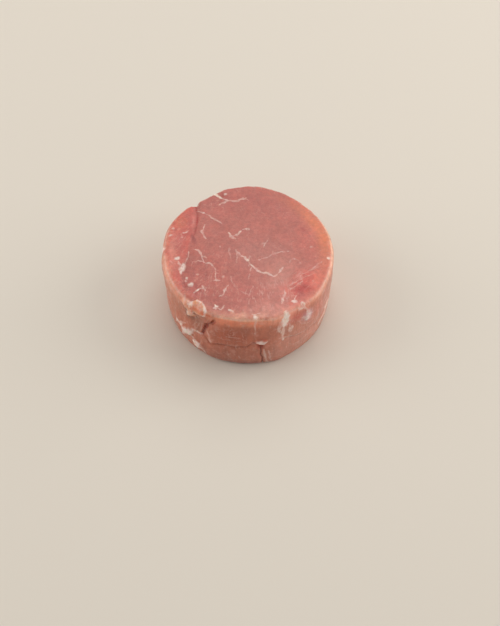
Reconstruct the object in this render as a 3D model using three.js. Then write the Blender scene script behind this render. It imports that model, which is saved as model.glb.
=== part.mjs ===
// A raw veal medallion: one thick round cut of lean meat, standing on its flat lower cut face.
// The wall is the outside of the muscle, so it bulges, leans and creases, and carries scraps of fat.
// The upper cut face has a long seam, where a thin side muscle lies against the main one.
//
// Millimetres and degrees. +Z is up, +X is to the right and +Y to the back.
// The origin is the middle of the flat face that the medallion rests on.
// Angles run anticlockwise from +X, seen from above, so 270 is the front.

import * as THREE from "three";

// ---- Driving dimensions ----

const HEIGHT = 30;
const RIM_RADIUS_OF_FACE = 37.4; // mean radius of the upper cut face's outline
const BASE_HALF_WIDTH = 35.5; // the foot is drawn in at the left and right
const BASE_HALF_DEPTH = 37.6;
const BASE_SLIDE_FORWARD = 2.5; // the foot has slumped towards the front
const LOBES_LEFT_AT_FOOT = 0.4; // the outline's lobes have mostly settled there
const FOOT_ROUNDING = 1.6;

// Lobes and flats of the outline: where each is, how far it spreads, and how far it stands out.
const OUTLINE_LOBES = [
  { at: 45, spread: 24, out: -0.8 },
  { at: 84, spread: 13, out: 0.4 },
  { at: 123, spread: 9.5, out: -1.5 },
  { at: 157, spread: 14, out: 0.8 },
  { at: 247, spread: 9, out: 0.5 },
  { at: 288, spread: 7, out: 1.0 },
  { at: 320, spread: 13, out: 0.7 },
];

// The rim between face and wall is crisp at the front and soft at the sides.
const RIM_ROUNDING = 2.0;
const RIM_SOFTER = [
  { at: 180, spread: 38, out: 1.6 },
  { at: 360, spread: 30, out: 1.0 },
  { at: 268, spread: 28, out: -0.9 },
  { at: 233, spread: 8, out: 1.8 }, // where the loose flap folds over it
];

// ---- The upper cut face: places are x, y ----

// The seam runs from a notch in the rim at the back left, along the inside of the side muscle.
const SEAM = [
  [-24.9, 28.5],
  [-23.4, 24.3],
  [-22.6, 20.0],
  [-22.6, 15.7],
  [-23.1, 11.4],
  [-24.0, 7.5],
  [-24.8, 4.3],
  [-25.5, 0.0],
  [-26.2, -4.5],
  [-27.3, -9.5],
  [-28.2, -14.0],
  [-27.0, -20.0],
];
const SEAM_WIDTH = 1.0;
const SEAM_DEPTH_AT_NOTCH = 1.1;
const SEAM_DEPTH_AT_END = 0.25;
const NOTCH = { at: 131.8, spread: 3.0, out: -1.7 };
const SIDE_MUSCLE_DROP = 0.45; // the side muscle lies this much lower, beyond a soft shoulder
const SIDE_SHOULDER = 2.9;

const FACE_SWELLS = [
  { x: 3, y: 14, spread: 17, up: 0.55 }, // crown of the main muscle
  { x: 19, y: -14, spread: 8, up: -0.55 }, // hollow among loose fibres
  { x: 31, y: -4, spread: 8, up: -0.5 },
  { x: -30, y: 8, spread: 8, up: 0.3 }, // crown of the side muscle
  { x: -4, y: -24, spread: 11, up: 0.25 },
  { x: -13, y: 31, spread: 3.5, up: -0.7 }, // dip at the back edge, under a thread of fat
];

// ---- The wall: places are angle, height ----

// The waist: a crease most of the way round, where a thin skin of muscle ends.
const WAIST = [
  [98, 13.0],
  [128, 15.0],
  [160, 12.0],
  [190, 14.5],
  [212, 12.4],
  [246.3, 10.6],
  [250.6, 12.0],
  [262, 12.6],
  [268.5, 12.8],
  [273.9, 15.6],
  [292.4, 15.2],
  [300.9, 12.4],
  [320, 11.0],
  [342, 11.0],
  [366, 9.0],
];
const MEAN_WAIST_HEIGHT = 12.5;
const waistBetween = (from, to) => WAIST.filter(([angle]) => angle >= from && angle <= to);

// The gap runs down beside a loose flap, from below the rim to the waist.
const GAP = [
  [249.6, 26.9],
  [247.4, 25.2],
  [245.4, 23.5],
  [243.2, 20.8],
  [242.0, 18.6],
  [240.6, 15.6],
  [239.3, 13.2],
];

// Clefts: the path of each, its half width, and how deep it cuts in.
const CLEFTS = [
  { name: "gap beside the loose flap", path: GAP, halfWidth: 0.9, deep: 1.9 },
  { name: "waist at the front", path: waistBetween(246, 276), halfWidth: 0.7, deep: 0.6 },
  { name: "waist at the right", path: waistBetween(292, 366), halfWidth: 0.8, deep: 0.4 },
  { name: "waist at the left and back", path: waistBetween(98, 212), halfWidth: 0.9, deep: 0.5 },
  {
    name: "edge of the lower bulge",
    path: [
      [240.7, 14.0],
      [243.3, 13.3],
      [244.8, 11.9],
      [246.3, 10.1],
    ],
    halfWidth: 0.7,
    deep: 0.6,
  },
  {
    name: "split under the nub",
    path: [
      [277.7, 12.4],
      [278.1, 9.7],
      [278.4, 7.1],
      [278.8, 1.9],
      [279.3, -0.5],
    ],
    halfWidth: 0.6,
    deep: 1.2,
  },
  {
    name: "crease down from the notch",
    path: [
      [132, 30],
      [133.5, 21],
      [130, 13.5],
    ],
    halfWidth: 0.9,
    deep: 0.8,
  },
  {
    name: "crease at the back right",
    path: [
      [50, 26],
      [47, 17],
      [52, 9],
      [50, 3],
    ],
    halfWidth: 0.8,
    deep: 0.6,
  },
];

// Lumps stand out of the wall, hollows go in. Half sizes are along the wall and up it.
const WALL_LUMPS = [
  { name: "loose flap", at: [235.2, 28.0], half: [5.4, 4.8], out: 1.5 },
  { name: "loose flap, tongue", at: [232.6, 23.4], half: [3.4, 3.8], out: 1.1 },
  { name: "scrap beside the flap", at: [226.6, 23.6], half: [2.2, 4.6], out: 0.9 },
  { name: "hollow under the flap", at: [235.6, 17.4], half: [4.4, 3.2], out: -1.5 },
  { name: "low fat, upper", at: [220.5, 11.6], half: [4.2, 2.2], out: 0.9 },
  { name: "low fat, middle", at: [228.6, 9.6], half: [3.4, 2.4], out: 1.1 },
  { name: "low fat, lower", at: [237.6, 7.0], half: [3.4, 1.6], out: 0.8 },
  { name: "nub", at: [278.5, 16.4], half: [2.5, 1.1], out: 1.3 },
  { name: "pit under the nub", at: [278, 13.2], half: [1.3, 1.7], out: -1.1 },
  { name: "fat strip", at: [294.2, 25.2], half: [2.0, 5.6], out: 0.55 },
  { name: "fat strip, tail", at: [292, 17.6], half: [1.2, 4.0], out: 0.35 },
  { name: "fat patch", at: [311.3, 21.8], half: [1.9, 3.4], out: 0.5 },
  { name: "back fat, wide", at: [86, 20], half: [8.0, 4.0], out: 0.7 },
  { name: "back fat, low", at: [112, 6.5], half: [6.0, 2.8], out: 0.7 },
  { name: "right fat", at: [14, 19], half: [2.6, 6.0], out: 0.5 },
  { name: "left fat", at: [184, 22], half: [3.0, 4.4], out: 0.45 },
];

// A cleft runs out towards both ends of its path.
const CLEFT_DEPTH_AT_ENDS = 0.25;
const CLEFT_RUN_IN = 0.125;

// Broad swellings: of the whole wall, and of the band below the waist.
const WALL_BELLY = 0.55;
const LOWER_BAND = { at: 6.2, spread: 4.4, out: 0.5 };
const LUMP_EDGE = 1.5; // over 1 gives a lump a flatter top and a steeper edge

// ---- Helpers ----

const rad = THREE.MathUtils.degToRad;
const deg = THREE.MathUtils.radToDeg;
const bell = (distance, spread) => Math.exp(-((distance / spread) ** 2));
const turnTo = (from, to) => ((to - from + 540) % 360) - 180; // signed degrees, -180 to 180
const sumOfLobes = (lobes, angle) =>
  lobes.reduce((sum, l) => sum + l.out * bell(turnTo(l.at, angle), l.spread), 0);

// The nearest point of an open path: how far off it is, and how far along the path it lies, 0 to 1.
function nearestOnPath(path, x, y) {
  let best = { distance: Infinity, along: 0 };
  for (let i = 0; i + 1 < path.length; i++) {
    const [ax, ay] = path[i];
    const [dx, dy] = [path[i + 1][0] - ax, path[i + 1][1] - ay];
    const share = ((x - ax) * dx + (y - ay) * dy) / (dx * dx + dy * dy);
    const t = THREE.MathUtils.clamp(share, 0, 1);
    const distance = Math.hypot(x - ax - t * dx, y - ay - t * dy);
    if (distance < best.distance) best = { distance, along: (i + t) / (path.length - 1) };
  }
  return best;
}

// A path as a function: its second coordinate where its first is as given. The first runs upwards.
function valueAlong(path, first) {
  const next = path.findIndex(([a]) => a >= first);
  if (next <= 0) return path.at(next)[1];
  const [[a0, b0], [a1, b1]] = [path[next - 1], path[next]];
  return THREE.MathUtils.mapLinear(first, a0, a1, b0, b1);
}

// Arc length along the wall, from one angle to another, in millimetres.
const alongWall = (fromAngle, toAngle) => rad(turnTo(fromAngle, toAngle)) * RIM_RADIUS_OF_FACE;

// ---- Form of the wall ----

function faceOutline(angle) {
  return RIM_RADIUS_OF_FACE + sumOfLobes(OUTLINE_LOBES, angle) + sumOfLobes([NOTCH], angle);
}

function baseOutline(angle) {
  const [c, s] = [Math.cos(rad(angle)), Math.sin(rad(angle))];
  const ellipse = 1 / Math.hypot(c / BASE_HALF_WIDTH, s / BASE_HALF_DEPTH);
  return ellipse - BASE_SLIDE_FORWARD * s + LOBES_LEFT_AT_FOOT * sumOfLobes(OUTLINE_LOBES, angle);
}

function wallRelief(angle, height) {
  let out = 0;
  for (const cleft of CLEFTS) {
    const start = cleft.path[0][0];
    const path = cleft.path.map(([a, h]) => [alongWall(start, a), h]);
    const { distance, along } = nearestOnPath(path, alongWall(start, angle), height);
    const inFromEnd = Math.min(along, 1 - along) / CLEFT_RUN_IN;
    const depth = cleft.deep * THREE.MathUtils.lerp(CLEFT_DEPTH_AT_ENDS, 1, Math.min(1, inFromEnd));
    out -= depth * bell(distance, cleft.halfWidth);
  }
  for (const lump of WALL_LUMPS) {
    const across = alongWall(lump.at[0], angle) / lump.half[0];
    const up = (height - lump.at[1]) / lump.half[1];
    out += lump.out * Math.exp(-((across ** 2 + up ** 2) ** LUMP_EDGE));
  }
  return out;
}

function wallRadius(angle, height) {
  const rise = THREE.MathUtils.smoothstep(height, 0, HEIGHT);
  const lean = THREE.MathUtils.lerp(baseOutline(angle), faceOutline(angle), rise);
  const belly = WALL_BELLY * Math.sin((Math.PI * height) / HEIGHT);
  const lowerBand = LOWER_BAND.out * bell(height - LOWER_BAND.at, LOWER_BAND.spread);
  return lean + belly + lowerBand + wallRelief(angle, height);
}

// ---- Form of the upper cut face ----

function faceHeight(x, y) {
  const { distance, along } = nearestOnPath(SEAM, x, y);
  const depth = THREE.MathUtils.lerp(SEAM_DEPTH_AT_NOTCH, SEAM_DEPTH_AT_END, Math.sqrt(along));
  let height = HEIGHT - depth * bell(distance, SEAM_WIDTH);
  const outsideSeam = SEAM.some(([sx], i) => {
    const next = SEAM[i + 1];
    return next && (y - SEAM[i][1]) * (y - next[1]) <= 0 && x < sx;
  });
  if (outsideSeam) height -= SIDE_MUSCLE_DROP * (1 - bell(distance, SIDE_SHOULDER));
  for (const swell of FACE_SWELLS) {
    height += swell.up * bell(Math.hypot(x - swell.x, y - swell.y), swell.spread);
  }
  return height;
}

// ---- The skin: rings, and columns from the middle of the face over the rim and in under the foot ----

const FACE_RINGS = 19;
const RIM_RINGS = 3;
const WALL_RINGS = 19;
const FOOT_RINGS = 2;
const BASE_RING = 0.6; // as a share of the flat foot's radius
const SEGMENTS_ROUND = 134;

// Where rings and columns are closer together, for the seam, the clefts and the waist.
const FACE_DETAIL = [
  { at: 26, spread: 6, out: 2.2 },
  { at: 34, spread: 4, out: 0.8 },
];
const WALL_DETAIL = [
  { at: MEAN_WAIST_HEIGHT, spread: 3.5, out: 1.3 },
  { at: 24, spread: 5, out: 0.4 },
];
const ROUND_DETAIL = [
  { at: 239, spread: 15, out: 3.3 },
  { at: 279, spread: 6, out: 4.5 },
  { at: 294, spread: 8, out: 1.0 },
  { at: NOTCH.at, spread: 8, out: 3.4 },
  { at: 172, spread: 36, out: 0.9 },
];

// The columns lean along the gap and the first stretch of the seam, and the rings rise and fall
// with the waist and bend along the rest of the seam, so that the skin folds cleanly there.
const SEAM_ROUND = SEAM.map(([x, y]) => [(deg(Math.atan2(y, x)) + 360) % 360, Math.hypot(x, y)]);
const SEAM_BY_RADIUS = SEAM_ROUND.slice(0, 4)
  .reverse()
  .map(([angle, radius]) => [radius, angle]);
const GAP_BY_HEIGHT = GAP.map(([angle, height]) => [height, angle]).reverse();
const SEAM_LEAN = { angle: NOTCH.at, spread: 20 };
const GAP_LEAN = { angle: 244, spread: 11 };
const SEAM_BEND = { radius: 26, spread: 8, angle: 184, round: 42 };
const WAIST_BEND = 4.5;
const BEND_STOPS_AT_RIM = 8; // the higher, the closer to the rim the bent rings come back to it

const leanOnFace = (angle, radius) =>
  (valueAlong(SEAM_BY_RADIUS, radius) - SEAM_LEAN.angle) *
  bell(turnTo(SEAM_LEAN.angle, angle), SEAM_LEAN.spread);

const leanOnWall = (angle, height) =>
  (valueAlong(GAP_BY_HEIGHT, height) - GAP_LEAN.angle) *
  bell(turnTo(GAP_LEAN.angle, angle), GAP_LEAN.spread);

const bendOnFace = (angle, radius) =>
  (valueAlong(SEAM_ROUND, angle) - SEAM_BEND.radius) *
  bell(radius - SEAM_BEND.radius, SEAM_BEND.spread) *
  bell(turnTo(SEAM_BEND.angle, angle) ** 2, SEAM_BEND.round ** 2);

const bendOnWall = (angle, height) =>
  (valueAlong(WAIST, angle < WAIST[0][0] ? angle + 360 : angle) - MEAN_WAIST_HEIGHT) *
  bell(height - MEAN_WAIST_HEIGHT, WAIST_BEND);

// Splits a span into steps that are shorter where there is more detail, and gives every end of a step.
function unevenSteps(from, to, count, detail, gap = (place, at) => place - at) {
  const SAMPLES = 4000;
  const sums = [0];
  for (let i = 0; i < SAMPLES; i++) {
    const place = THREE.MathUtils.lerp(from, to, i / SAMPLES);
    const density = detail.reduce((sum, d) => sum + d.out * bell(gap(place, d.at), d.spread), 1);
    sums.push(sums[i] + density);
  }
  const ends = [];
  for (let i = 0, k = 0; k <= count; k++) {
    while (sums[i] < (sums[SAMPLES] * k) / count) i++;
    ends.push(THREE.MathUtils.lerp(from, to, i / SAMPLES));
  }
  return ends;
}

const FACE_STEPS = unevenSteps(0, RIM_RADIUS_OF_FACE - RIM_ROUNDING, FACE_RINGS, FACE_DETAIL).slice(1);
const WALL_STEPS = unevenSteps(FOOT_ROUNDING, HEIGHT - RIM_ROUNDING, WALL_RINGS, WALL_DETAIL).reverse();

// The points down one column of the skin.
function column(straight) {
  const points = [];
  const add = (angle, radius, height) =>
    points.push(new THREE.Vector3(radius * Math.cos(rad(angle)), radius * Math.sin(rad(angle)), height));
  const addOnFace = (angle, radius) =>
    add(angle, radius, faceHeight(radius * Math.cos(rad(angle)), radius * Math.sin(rad(angle))));

  const rimAngle = straight + leanOnFace(straight, RIM_RADIUS_OF_FACE) + leanOnWall(straight, HEIGHT);
  const rounding = RIM_ROUNDING + sumOfLobes(RIM_SOFTER, rimAngle);
  const faceEdge = wallRadius(rimAngle, HEIGHT) - rounding;
  for (const step of FACE_STEPS) {
    const share = step / FACE_STEPS.at(-1);
    const radius = faceEdge * share;
    const angle = straight + leanOnFace(straight, radius) + leanOnWall(straight, HEIGHT) * share;
    addOnFace(angle, radius + bendOnFace(angle, radius) * (1 - share ** BEND_STOPS_AT_RIM));
  }
  const shoulder = points.at(-1).z - rounding;
  for (let i = 1; i < RIM_RINGS; i++) {
    const turn = (Math.PI / 2) * (i / RIM_RINGS);
    const height = shoulder + rounding * Math.cos(turn);
    const wallEdge = wallRadius(rimAngle, height) - rounding;
    const rimCentre = THREE.MathUtils.lerp(faceEdge, wallEdge, Math.sin(turn));
    add(rimAngle, rimCentre + rounding * Math.sin(turn), height);
  }
  for (const step of WALL_STEPS) {
    const share = (step - FOOT_ROUNDING) / (HEIGHT - RIM_ROUNDING - FOOT_ROUNDING);
    const level = THREE.MathUtils.lerp(FOOT_ROUNDING, shoulder, share);
    const height = level + bendOnWall(rimAngle, level);
    const angle = straight + leanOnFace(straight, RIM_RADIUS_OF_FACE) + leanOnWall(straight, height);
    add(angle, wallRadius(angle, height), height);
  }
  const footAngle = straight + leanOnWall(straight, 0);
  for (let i = 1; i <= FOOT_RINGS; i++) {
    const turn = (Math.PI / 2) * (i / FOOT_RINGS);
    const height = FOOT_ROUNDING * (1 - Math.sin(turn));
    add(footAngle, wallRadius(footAngle, height) - FOOT_ROUNDING * (1 - Math.cos(turn)), height);
  }
  add(footAngle, (wallRadius(footAngle, 0) - FOOT_ROUNDING) * BASE_RING, 0);
  return points;
}

function skinGeometry() {
  const angles = unevenSteps(0, 360, SEGMENTS_ROUND, ROUND_DETAIL, turnTo).slice(1);
  const columns = angles.map(column);
  const rings = columns[0].length;
  const points = columns.flat();
  const top = points.push(new THREE.Vector3(0, 0, faceHeight(0, 0))) - 1;
  const bottom = points.push(new THREE.Vector3(0, 0, 0)) - 1;
  const index = [];
  for (let k = 0; k < columns.length; k++) {
    const here = k * rings;
    const next = ((k + 1) % columns.length) * rings;
    index.push(top, here, next);
    for (let r = 0; r + 1 < rings; r++) {
      const [a, b, c, d] = [here + r, here + r + 1, next + r + 1, next + r];
      const cutFromA = points[a].distanceTo(points[c]) <= points[b].distanceTo(points[d]);
      index.push(...(cutFromA ? [a, b, c, a, c, d] : [a, b, d, b, c, d]));
    }
    index.push(bottom, next + rings - 1, here + rings - 1);
  }
  const geometry = new THREE.BufferGeometry().setFromPoints(points).setIndex(index);
  geometry.computeBoundingBox();
  const middle = geometry.boundingBox.getCenter(new THREE.Vector3());
  geometry.translate(-middle.x, -middle.y, 0);
  geometry.computeVertexNormals();
  return geometry;
}

const flesh = new THREE.MeshStandardMaterial({
  name: "raw_veal",
  color: new THREE.Color(0xbf7a70),
  roughness: 0.45,
  metalness: 0,
});

const medallion = new THREE.Mesh(skinGeometry(), flesh);
medallion.name = "veal_medallion";

const part = new THREE.Group();
part.add(medallion);

export default part;
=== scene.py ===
"""A raw veal medallion: one thick round cut of lean meat, standing on its lower cut face.

The upper face shows the muscle cut across its fibres, with a seam beside a thin side muscle
and fine threads of fat. The wall is the outside of the muscle, creased, with scraps of fat.

Sizes are millimetres and degrees in the classes below, and the mesh is made in metres.
Angles run anticlockwise from +X, seen from above, so 270 is the front.
"""

import itertools
import logging
import math
from dataclasses import dataclass, field
from enum import Enum

import bpy
import numpy as np
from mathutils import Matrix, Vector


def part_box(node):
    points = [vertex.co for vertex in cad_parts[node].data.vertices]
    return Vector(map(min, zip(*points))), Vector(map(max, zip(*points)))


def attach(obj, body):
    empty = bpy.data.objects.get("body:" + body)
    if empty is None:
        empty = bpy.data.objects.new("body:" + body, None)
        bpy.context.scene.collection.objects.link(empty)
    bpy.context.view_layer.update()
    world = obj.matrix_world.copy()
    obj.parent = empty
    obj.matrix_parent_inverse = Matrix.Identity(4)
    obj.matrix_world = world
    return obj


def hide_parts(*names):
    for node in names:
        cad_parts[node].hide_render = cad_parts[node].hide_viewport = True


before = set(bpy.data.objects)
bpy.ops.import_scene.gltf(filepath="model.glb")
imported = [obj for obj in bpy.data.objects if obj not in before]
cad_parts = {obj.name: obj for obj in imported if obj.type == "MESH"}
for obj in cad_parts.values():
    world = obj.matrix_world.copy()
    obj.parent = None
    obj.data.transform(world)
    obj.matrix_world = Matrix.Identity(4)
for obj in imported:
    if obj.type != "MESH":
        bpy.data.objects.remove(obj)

MM = 0.001
NEAR = 1e-3  # millimetres, as good as on the drum's end
HAIR = 1e-6  # millimetres, for places that lie on a border
NODE = "veal_medallion"

Array = np.ndarray
Point = tuple[float, float]
Colour = tuple[int, int, int]
Span = tuple[float, float, float, float]  # low and high, and the results there
Socket = bpy.types.NodeSocket

log = logging.getLogger(NODE)


# ---- Plain shapes of numbers ----


def bell(distance: Array, spread: float) -> Array:
    """Gives 1 at no distance, falling smoothly to 0 past the spread."""
    return np.exp(-((distance / spread) ** 2))


def ease(value: Array, low: float, high: float) -> Array:
    """Gives 0 at or below low and 1 at or above high, with a smooth rise between."""
    share = np.clip((value - low) / (high - low), 0.0, 1.0)
    return share * share * (3.0 - 2.0 * share)


def blend(first: Array, second: Array, share: Array) -> Array:
    """Gives the first value at share 0 and the second at share 1."""
    return first + (second - first) * share


def turn_to(start: float, end: Array) -> Array:
    """Gives the signed turn from one angle to another, from -180 to 180."""
    return (end - start + 540.0) % 360.0 - 180.0


def in_halves(x: Array, y: Array, half: Point, turned: float) -> tuple[Array, Array]:
    """Measures places along the two axes of a turned oval, in its half sizes.

    Args:
        x: First coordinates, from the oval's middle.
        y: Second coordinates, from the oval's middle.
        half: The oval's half sizes.
        turned: Its turn, in degrees.

    Returns:
        The places along its first axis and along its second.
    """
    turn = math.radians(turned)
    across = (x * math.cos(turn) + y * math.sin(turn)) / half[0]
    return across, (y * math.cos(turn) - x * math.sin(turn)) / half[1]


class Seed(Enum):
    """Names each noise and each lot of scattered strands, by the seed that it is drawn from."""

    WANDER_ASIDE = 5
    WANDER_UP = 6
    THREAD_SWELL = 11
    THREAD_ASIDE = 12
    THREAD_BACK = 13
    THREAD_FADE = 14
    FAT_EDGES = 15
    TINT_EDGES = 16
    TINT_BLOTCHES = 17
    TINT_SPECKLES = 18
    LUMPY_RELIEF = 21
    FINE_RELIEF = 22
    WALL_STREAKS = 23
    TORN_FIBRE = 24
    FLAP_CRUMPLES = 25
    TWIGS = 31
    SCATTERED_STRANDS = 47

    def draw(self) -> np.random.Generator:
        """Starts drawing from this seed."""
        return np.random.default_rng(self.value)


class Grain:
    """Smooth seeded noise through space, between about -1 and 1."""

    def __init__(self, seed: Seed) -> None:
        """Draws the noise's tables.

        Args:
            seed: Names one noise, which is the same on every run.
        """
        draw = seed.draw()
        self.order = draw.permutation(256)
        self.value = draw.uniform(-1.0, 1.0, 256)

    def at(self, places: Array, size: float | Point | tuple[float, float, float]) -> Array:
        """Reads the noise.

        Args:
            places: Rows of coordinates, in millimetres.
            size: Size of one blotch, or one size along each axis.

        Returns:
            One value for each row.
        """
        scaled = places / np.asarray(size)
        cell = np.floor(scaled).astype(int)
        part = scaled - cell
        part = part * part * (3.0 - 2.0 * part)
        total = np.zeros(len(places))
        for corner in itertools.product((0, 1), repeat=3):
            share = np.prod(np.where(corner, part, 1.0 - part), axis=1)
            i, j, k = ((cell + corner) & 255).T
            slot = self.order[(self.order[(self.order[i] + j) & 255] + k) & 255]
            total += share * self.value[slot]
        return total

    def layered(self, places: Array, size: float, layers: int = 3) -> Array:
        """Adds up finer and fainter layers of the noise.

        Args:
            places: Rows of coordinates, in millimetres.
            size: Size of one blotch of the coarsest layer.
            layers: How many layers, each half as coarse and half as strong as the last.

        Returns:
            One value for each row.
        """
        return sum(self.at(places + 37.0 * n, size / 2**n) / 2**n for n in range(layers))


@dataclass(frozen=True)
class Track:
    """An open path of straight stretches in a flat plane."""

    points: tuple[Point, ...]

    def nearest(self, x: Array, y: Array) -> tuple[Array, Array]:
        """Finds the nearest point of the path to each place.

        Args:
            x: First coordinates of the places.
            y: Second coordinates of the places.

        Returns:
            How far off the path each place is, and how far along the path, from 0 to 1.
        """
        distance = np.full(np.shape(x), np.inf)
        along = np.zeros(np.shape(x))
        steps = len(self.points) - 1
        for i, ((ax, ay), (bx, by)) in enumerate(zip(self.points, self.points[1:])):
            dx, dy = bx - ax, by - ay
            t = np.clip(((x - ax) * dx + (y - ay) * dy) / (dx * dx + dy * dy), 0.0, 1.0)
            here = np.hypot(x - ax - t * dx, y - ay - t * dy)
            closer = here < distance
            distance = np.where(closer, here, distance)
            along = np.where(closer, (i + t) / steps, along)
        return distance, along


# ---- The form of the wall ----


@dataclass(frozen=True)
class Lobe:
    """A swelling or, with a negative size, a flat of an outline."""

    at: float
    spread: float
    out: float


def sum_of_lobes(lobes: tuple[Lobe, ...], angle: Array) -> Array:
    """Adds up how far all the lobes stand out at each angle."""
    return sum(lobe.out * bell(turn_to(lobe.at, angle), lobe.spread) for lobe in lobes)


@dataclass(frozen=True)
class Cleft:
    """A groove in the wall, along a path of angle and height."""

    name: str
    path: tuple[Point, ...]
    half_width: float
    deep: float
    # share of the painted shade laid into the cleft
    dark: float = 1.0


@dataclass(frozen=True)
class Lump:
    """A patch that stands out of the wall, or goes in, at an angle and a height."""

    name: str
    at: Point
    half: Point
    out: float
    edge: float = 1.5


WAIST: tuple[Point, ...] = (
    (98, 13.0), (128, 15.0), (160, 12.0), (190, 14.5), (212, 12.4), (246.3, 10.6), (250.6, 12.0),
    (262, 12.6), (268.5, 12.8), (273.9, 15.6), (292.4, 15.2), (300.9, 12.4), (320, 11.0),
    (342, 11.0), (366, 9.0),
)


def waist_between(start: float, end: float) -> tuple[Point, ...]:
    """Gives the stretch of the waist between two angles."""
    return tuple(point for point in WAIST if start <= point[0] <= end)


@dataclass(frozen=True)
class Wall:
    """The outside of the muscle, from the rim of the cut face down to the foot."""

    height: float = 30.0
    rim_radius: float = 37.4
    base_half_width: float = 35.5
    base_half_depth: float = 37.6
    base_slide_forward: float = 2.5
    lobes_left_at_foot: float = 0.4
    foot_rounding: float = 1.6
    belly: float = 0.55
    rim_rounding: float = 2.0
    cleft_depth_at_ends: float = 0.25
    cleft_run_in: float = 0.125
    wander: float = 0.35
    wander_size: float = 2.6
    lower_band: Lobe = Lobe(6.2, 4.4, 0.5)
    notch: Lobe = Lobe(131.8, 3.0, -1.7)
    lobes: tuple[Lobe, ...] = (
        Lobe(45, 24, -0.8),
        Lobe(84, 13, 0.4),
        Lobe(123, 9.5, -1.5),
        Lobe(157, 14, 0.8),
        Lobe(247, 9, 0.5),
        Lobe(288, 7, 1.0),
        Lobe(320, 13, 0.7),
    )
    rim_softer: tuple[Lobe, ...] = (
        Lobe(180, 38, 1.6),
        Lobe(360, 30, 1.0),
        Lobe(268, 28, -0.9),
        Lobe(233, 8, 1.8),
    )
    clefts: tuple[Cleft, ...] = (
        Cleft(
            "gap beside the loose flap",
            (
                (249.6, 26.9), (247.4, 25.2), (245.4, 23.5), (243.2, 20.8), (242.0, 18.6),
                (240.6, 15.6), (239.3, 13.2),
            ),
            0.9, 0.5, 0.15,
        ),
        Cleft("waist at the front", waist_between(246, 276), 0.4, 0.5, 0.45),
        Cleft("waist at the right", waist_between(292, 366), 0.6, 0.35, 0.1),
        Cleft("waist at the left and back", waist_between(98, 212), 0.7, 0.45, 0.2),
        Cleft(
            "edge of the lower bulge",
            ((240.7, 14.0), (243.3, 13.3), (244.8, 11.9), (246.3, 10.1)),
            0.4, 0.5, 0.3,
        ),
        Cleft(
            "split under the nub",
            ((277.7, 12.4), (278.1, 9.7), (278.4, 7.1), (278.8, 1.9), (279.3, -0.5)),
            0.36, 0.75, 0.55,
        ),
        Cleft("crease down from the notch", ((132, 30), (133.5, 21), (130, 13.5)), 0.7, 0.8, 0.5),
        Cleft("crease at the back right", ((50, 26), (47, 17), (52, 9), (50, 3)), 0.6, 0.6, 0.3),
    )
    lumps: tuple[Lump, ...] = (
        Lump("under the flap", (234, 28.0), (7.0, 5.0), 0.3),
        Lump("hollow under the flap", (236.6, 20.4), (4.6, 4.6), -1.2),
        Lump("low fat, upper", (220.5, 11.8), (4.4, 2.2), 0.7),
        Lump("low fat, middle", (227.4, 10.4), (3.0, 2.5), 0.95),
        Lump("low fat, lower", (236.8, 6.0), (2.8, 2.1), 0.9),
        Lump("nub", (278.5, 16.4), (2.5, 1.05), 1.3, 2.0),
        Lump("pit under the nub", (277.9, 13.3), (1.3, 1.8), -1.5),
        Lump("panel beside the strip", (284.5, 22), (4.5, 6.5), 0.25),
        Lump("fat patch", (311.3, 21.8), (1.9, 3.4), 0.5, 2.0),
        Lump("back fat, wide", (86, 20), (8.0, 4.0), 0.7),
        Lump("back fat, low", (112, 6.5), (6.0, 2.8), 0.7),
        Lump("right fat", (14, 19), (2.6, 6.0), 0.5),
        Lump("left fat", (184, 22), (3.0, 4.4), 0.45),
    )

    def along(self, start: float, angle: Array) -> Array:
        """Gives the arc length along the wall from one angle to others."""
        return np.radians(turn_to(start, angle)) * self.rim_radius

    def face_outline(self, angle: Array) -> Array:
        """Gives the radius of the upper cut face's outline."""
        return self.rim_radius + sum_of_lobes(self.lobes + (self.notch,), angle)

    def base_outline(self, angle: Array) -> Array:
        """Gives the radius of the foot's outline.

        Args:
            angle: Angles of the places.

        Returns:
            One radius for each angle.
        """
        c, s = np.cos(np.radians(angle)), np.sin(np.radians(angle))
        ellipse = 1.0 / np.hypot(c / self.base_half_width, s / self.base_half_depth)
        lobes = self.lobes_left_at_foot * sum_of_lobes(self.lobes, angle)
        return ellipse - self.base_slide_forward * s + lobes

    def rounding(self, angle: Array) -> Array:
        """Gives the radius of the rim's rounding."""
        return self.rim_rounding + sum_of_lobes(self.rim_softer, angle)

    def wandered(self, angle: Array, height: Array) -> tuple[Array, Array]:
        """Shifts places a little, so that creases and patches have natural edges.

        Args:
            angle: Angles of the places.
            height: Heights of the places.

        Returns:
            The shifted angles and heights.
        """
        turn = np.radians(angle)
        x, y = np.cos(turn) * self.rim_radius, np.sin(turn) * self.rim_radius
        places = np.column_stack((x, y, height))
        aside = self.wander * Grain(Seed.WANDER_ASIDE).layered(places, self.wander_size, 2)
        up = self.wander * Grain(Seed.WANDER_UP).layered(places, self.wander_size, 2)
        return angle + np.degrees(aside / self.rim_radius), height + up

    def path_on_wall(self, path: tuple[Point, ...], angle: Array, height: Array) -> tuple[Array, Array]:
        """Finds the nearest point of a path on the wall to each place.

        Args:
            path: Points of angle and height, or of angle and distance down over the rim.
            angle: Angles of the places.
            height: Their heights, or distances down, as in the path.

        Returns:
            How far off the path each place is, and how far along the path, from 0 to 1.
        """
        start = path[0][0]
        track = Track(tuple((float(self.along(start, a)), h) for a, h in path))
        return track.nearest(self.along(start, angle), height)

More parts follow.
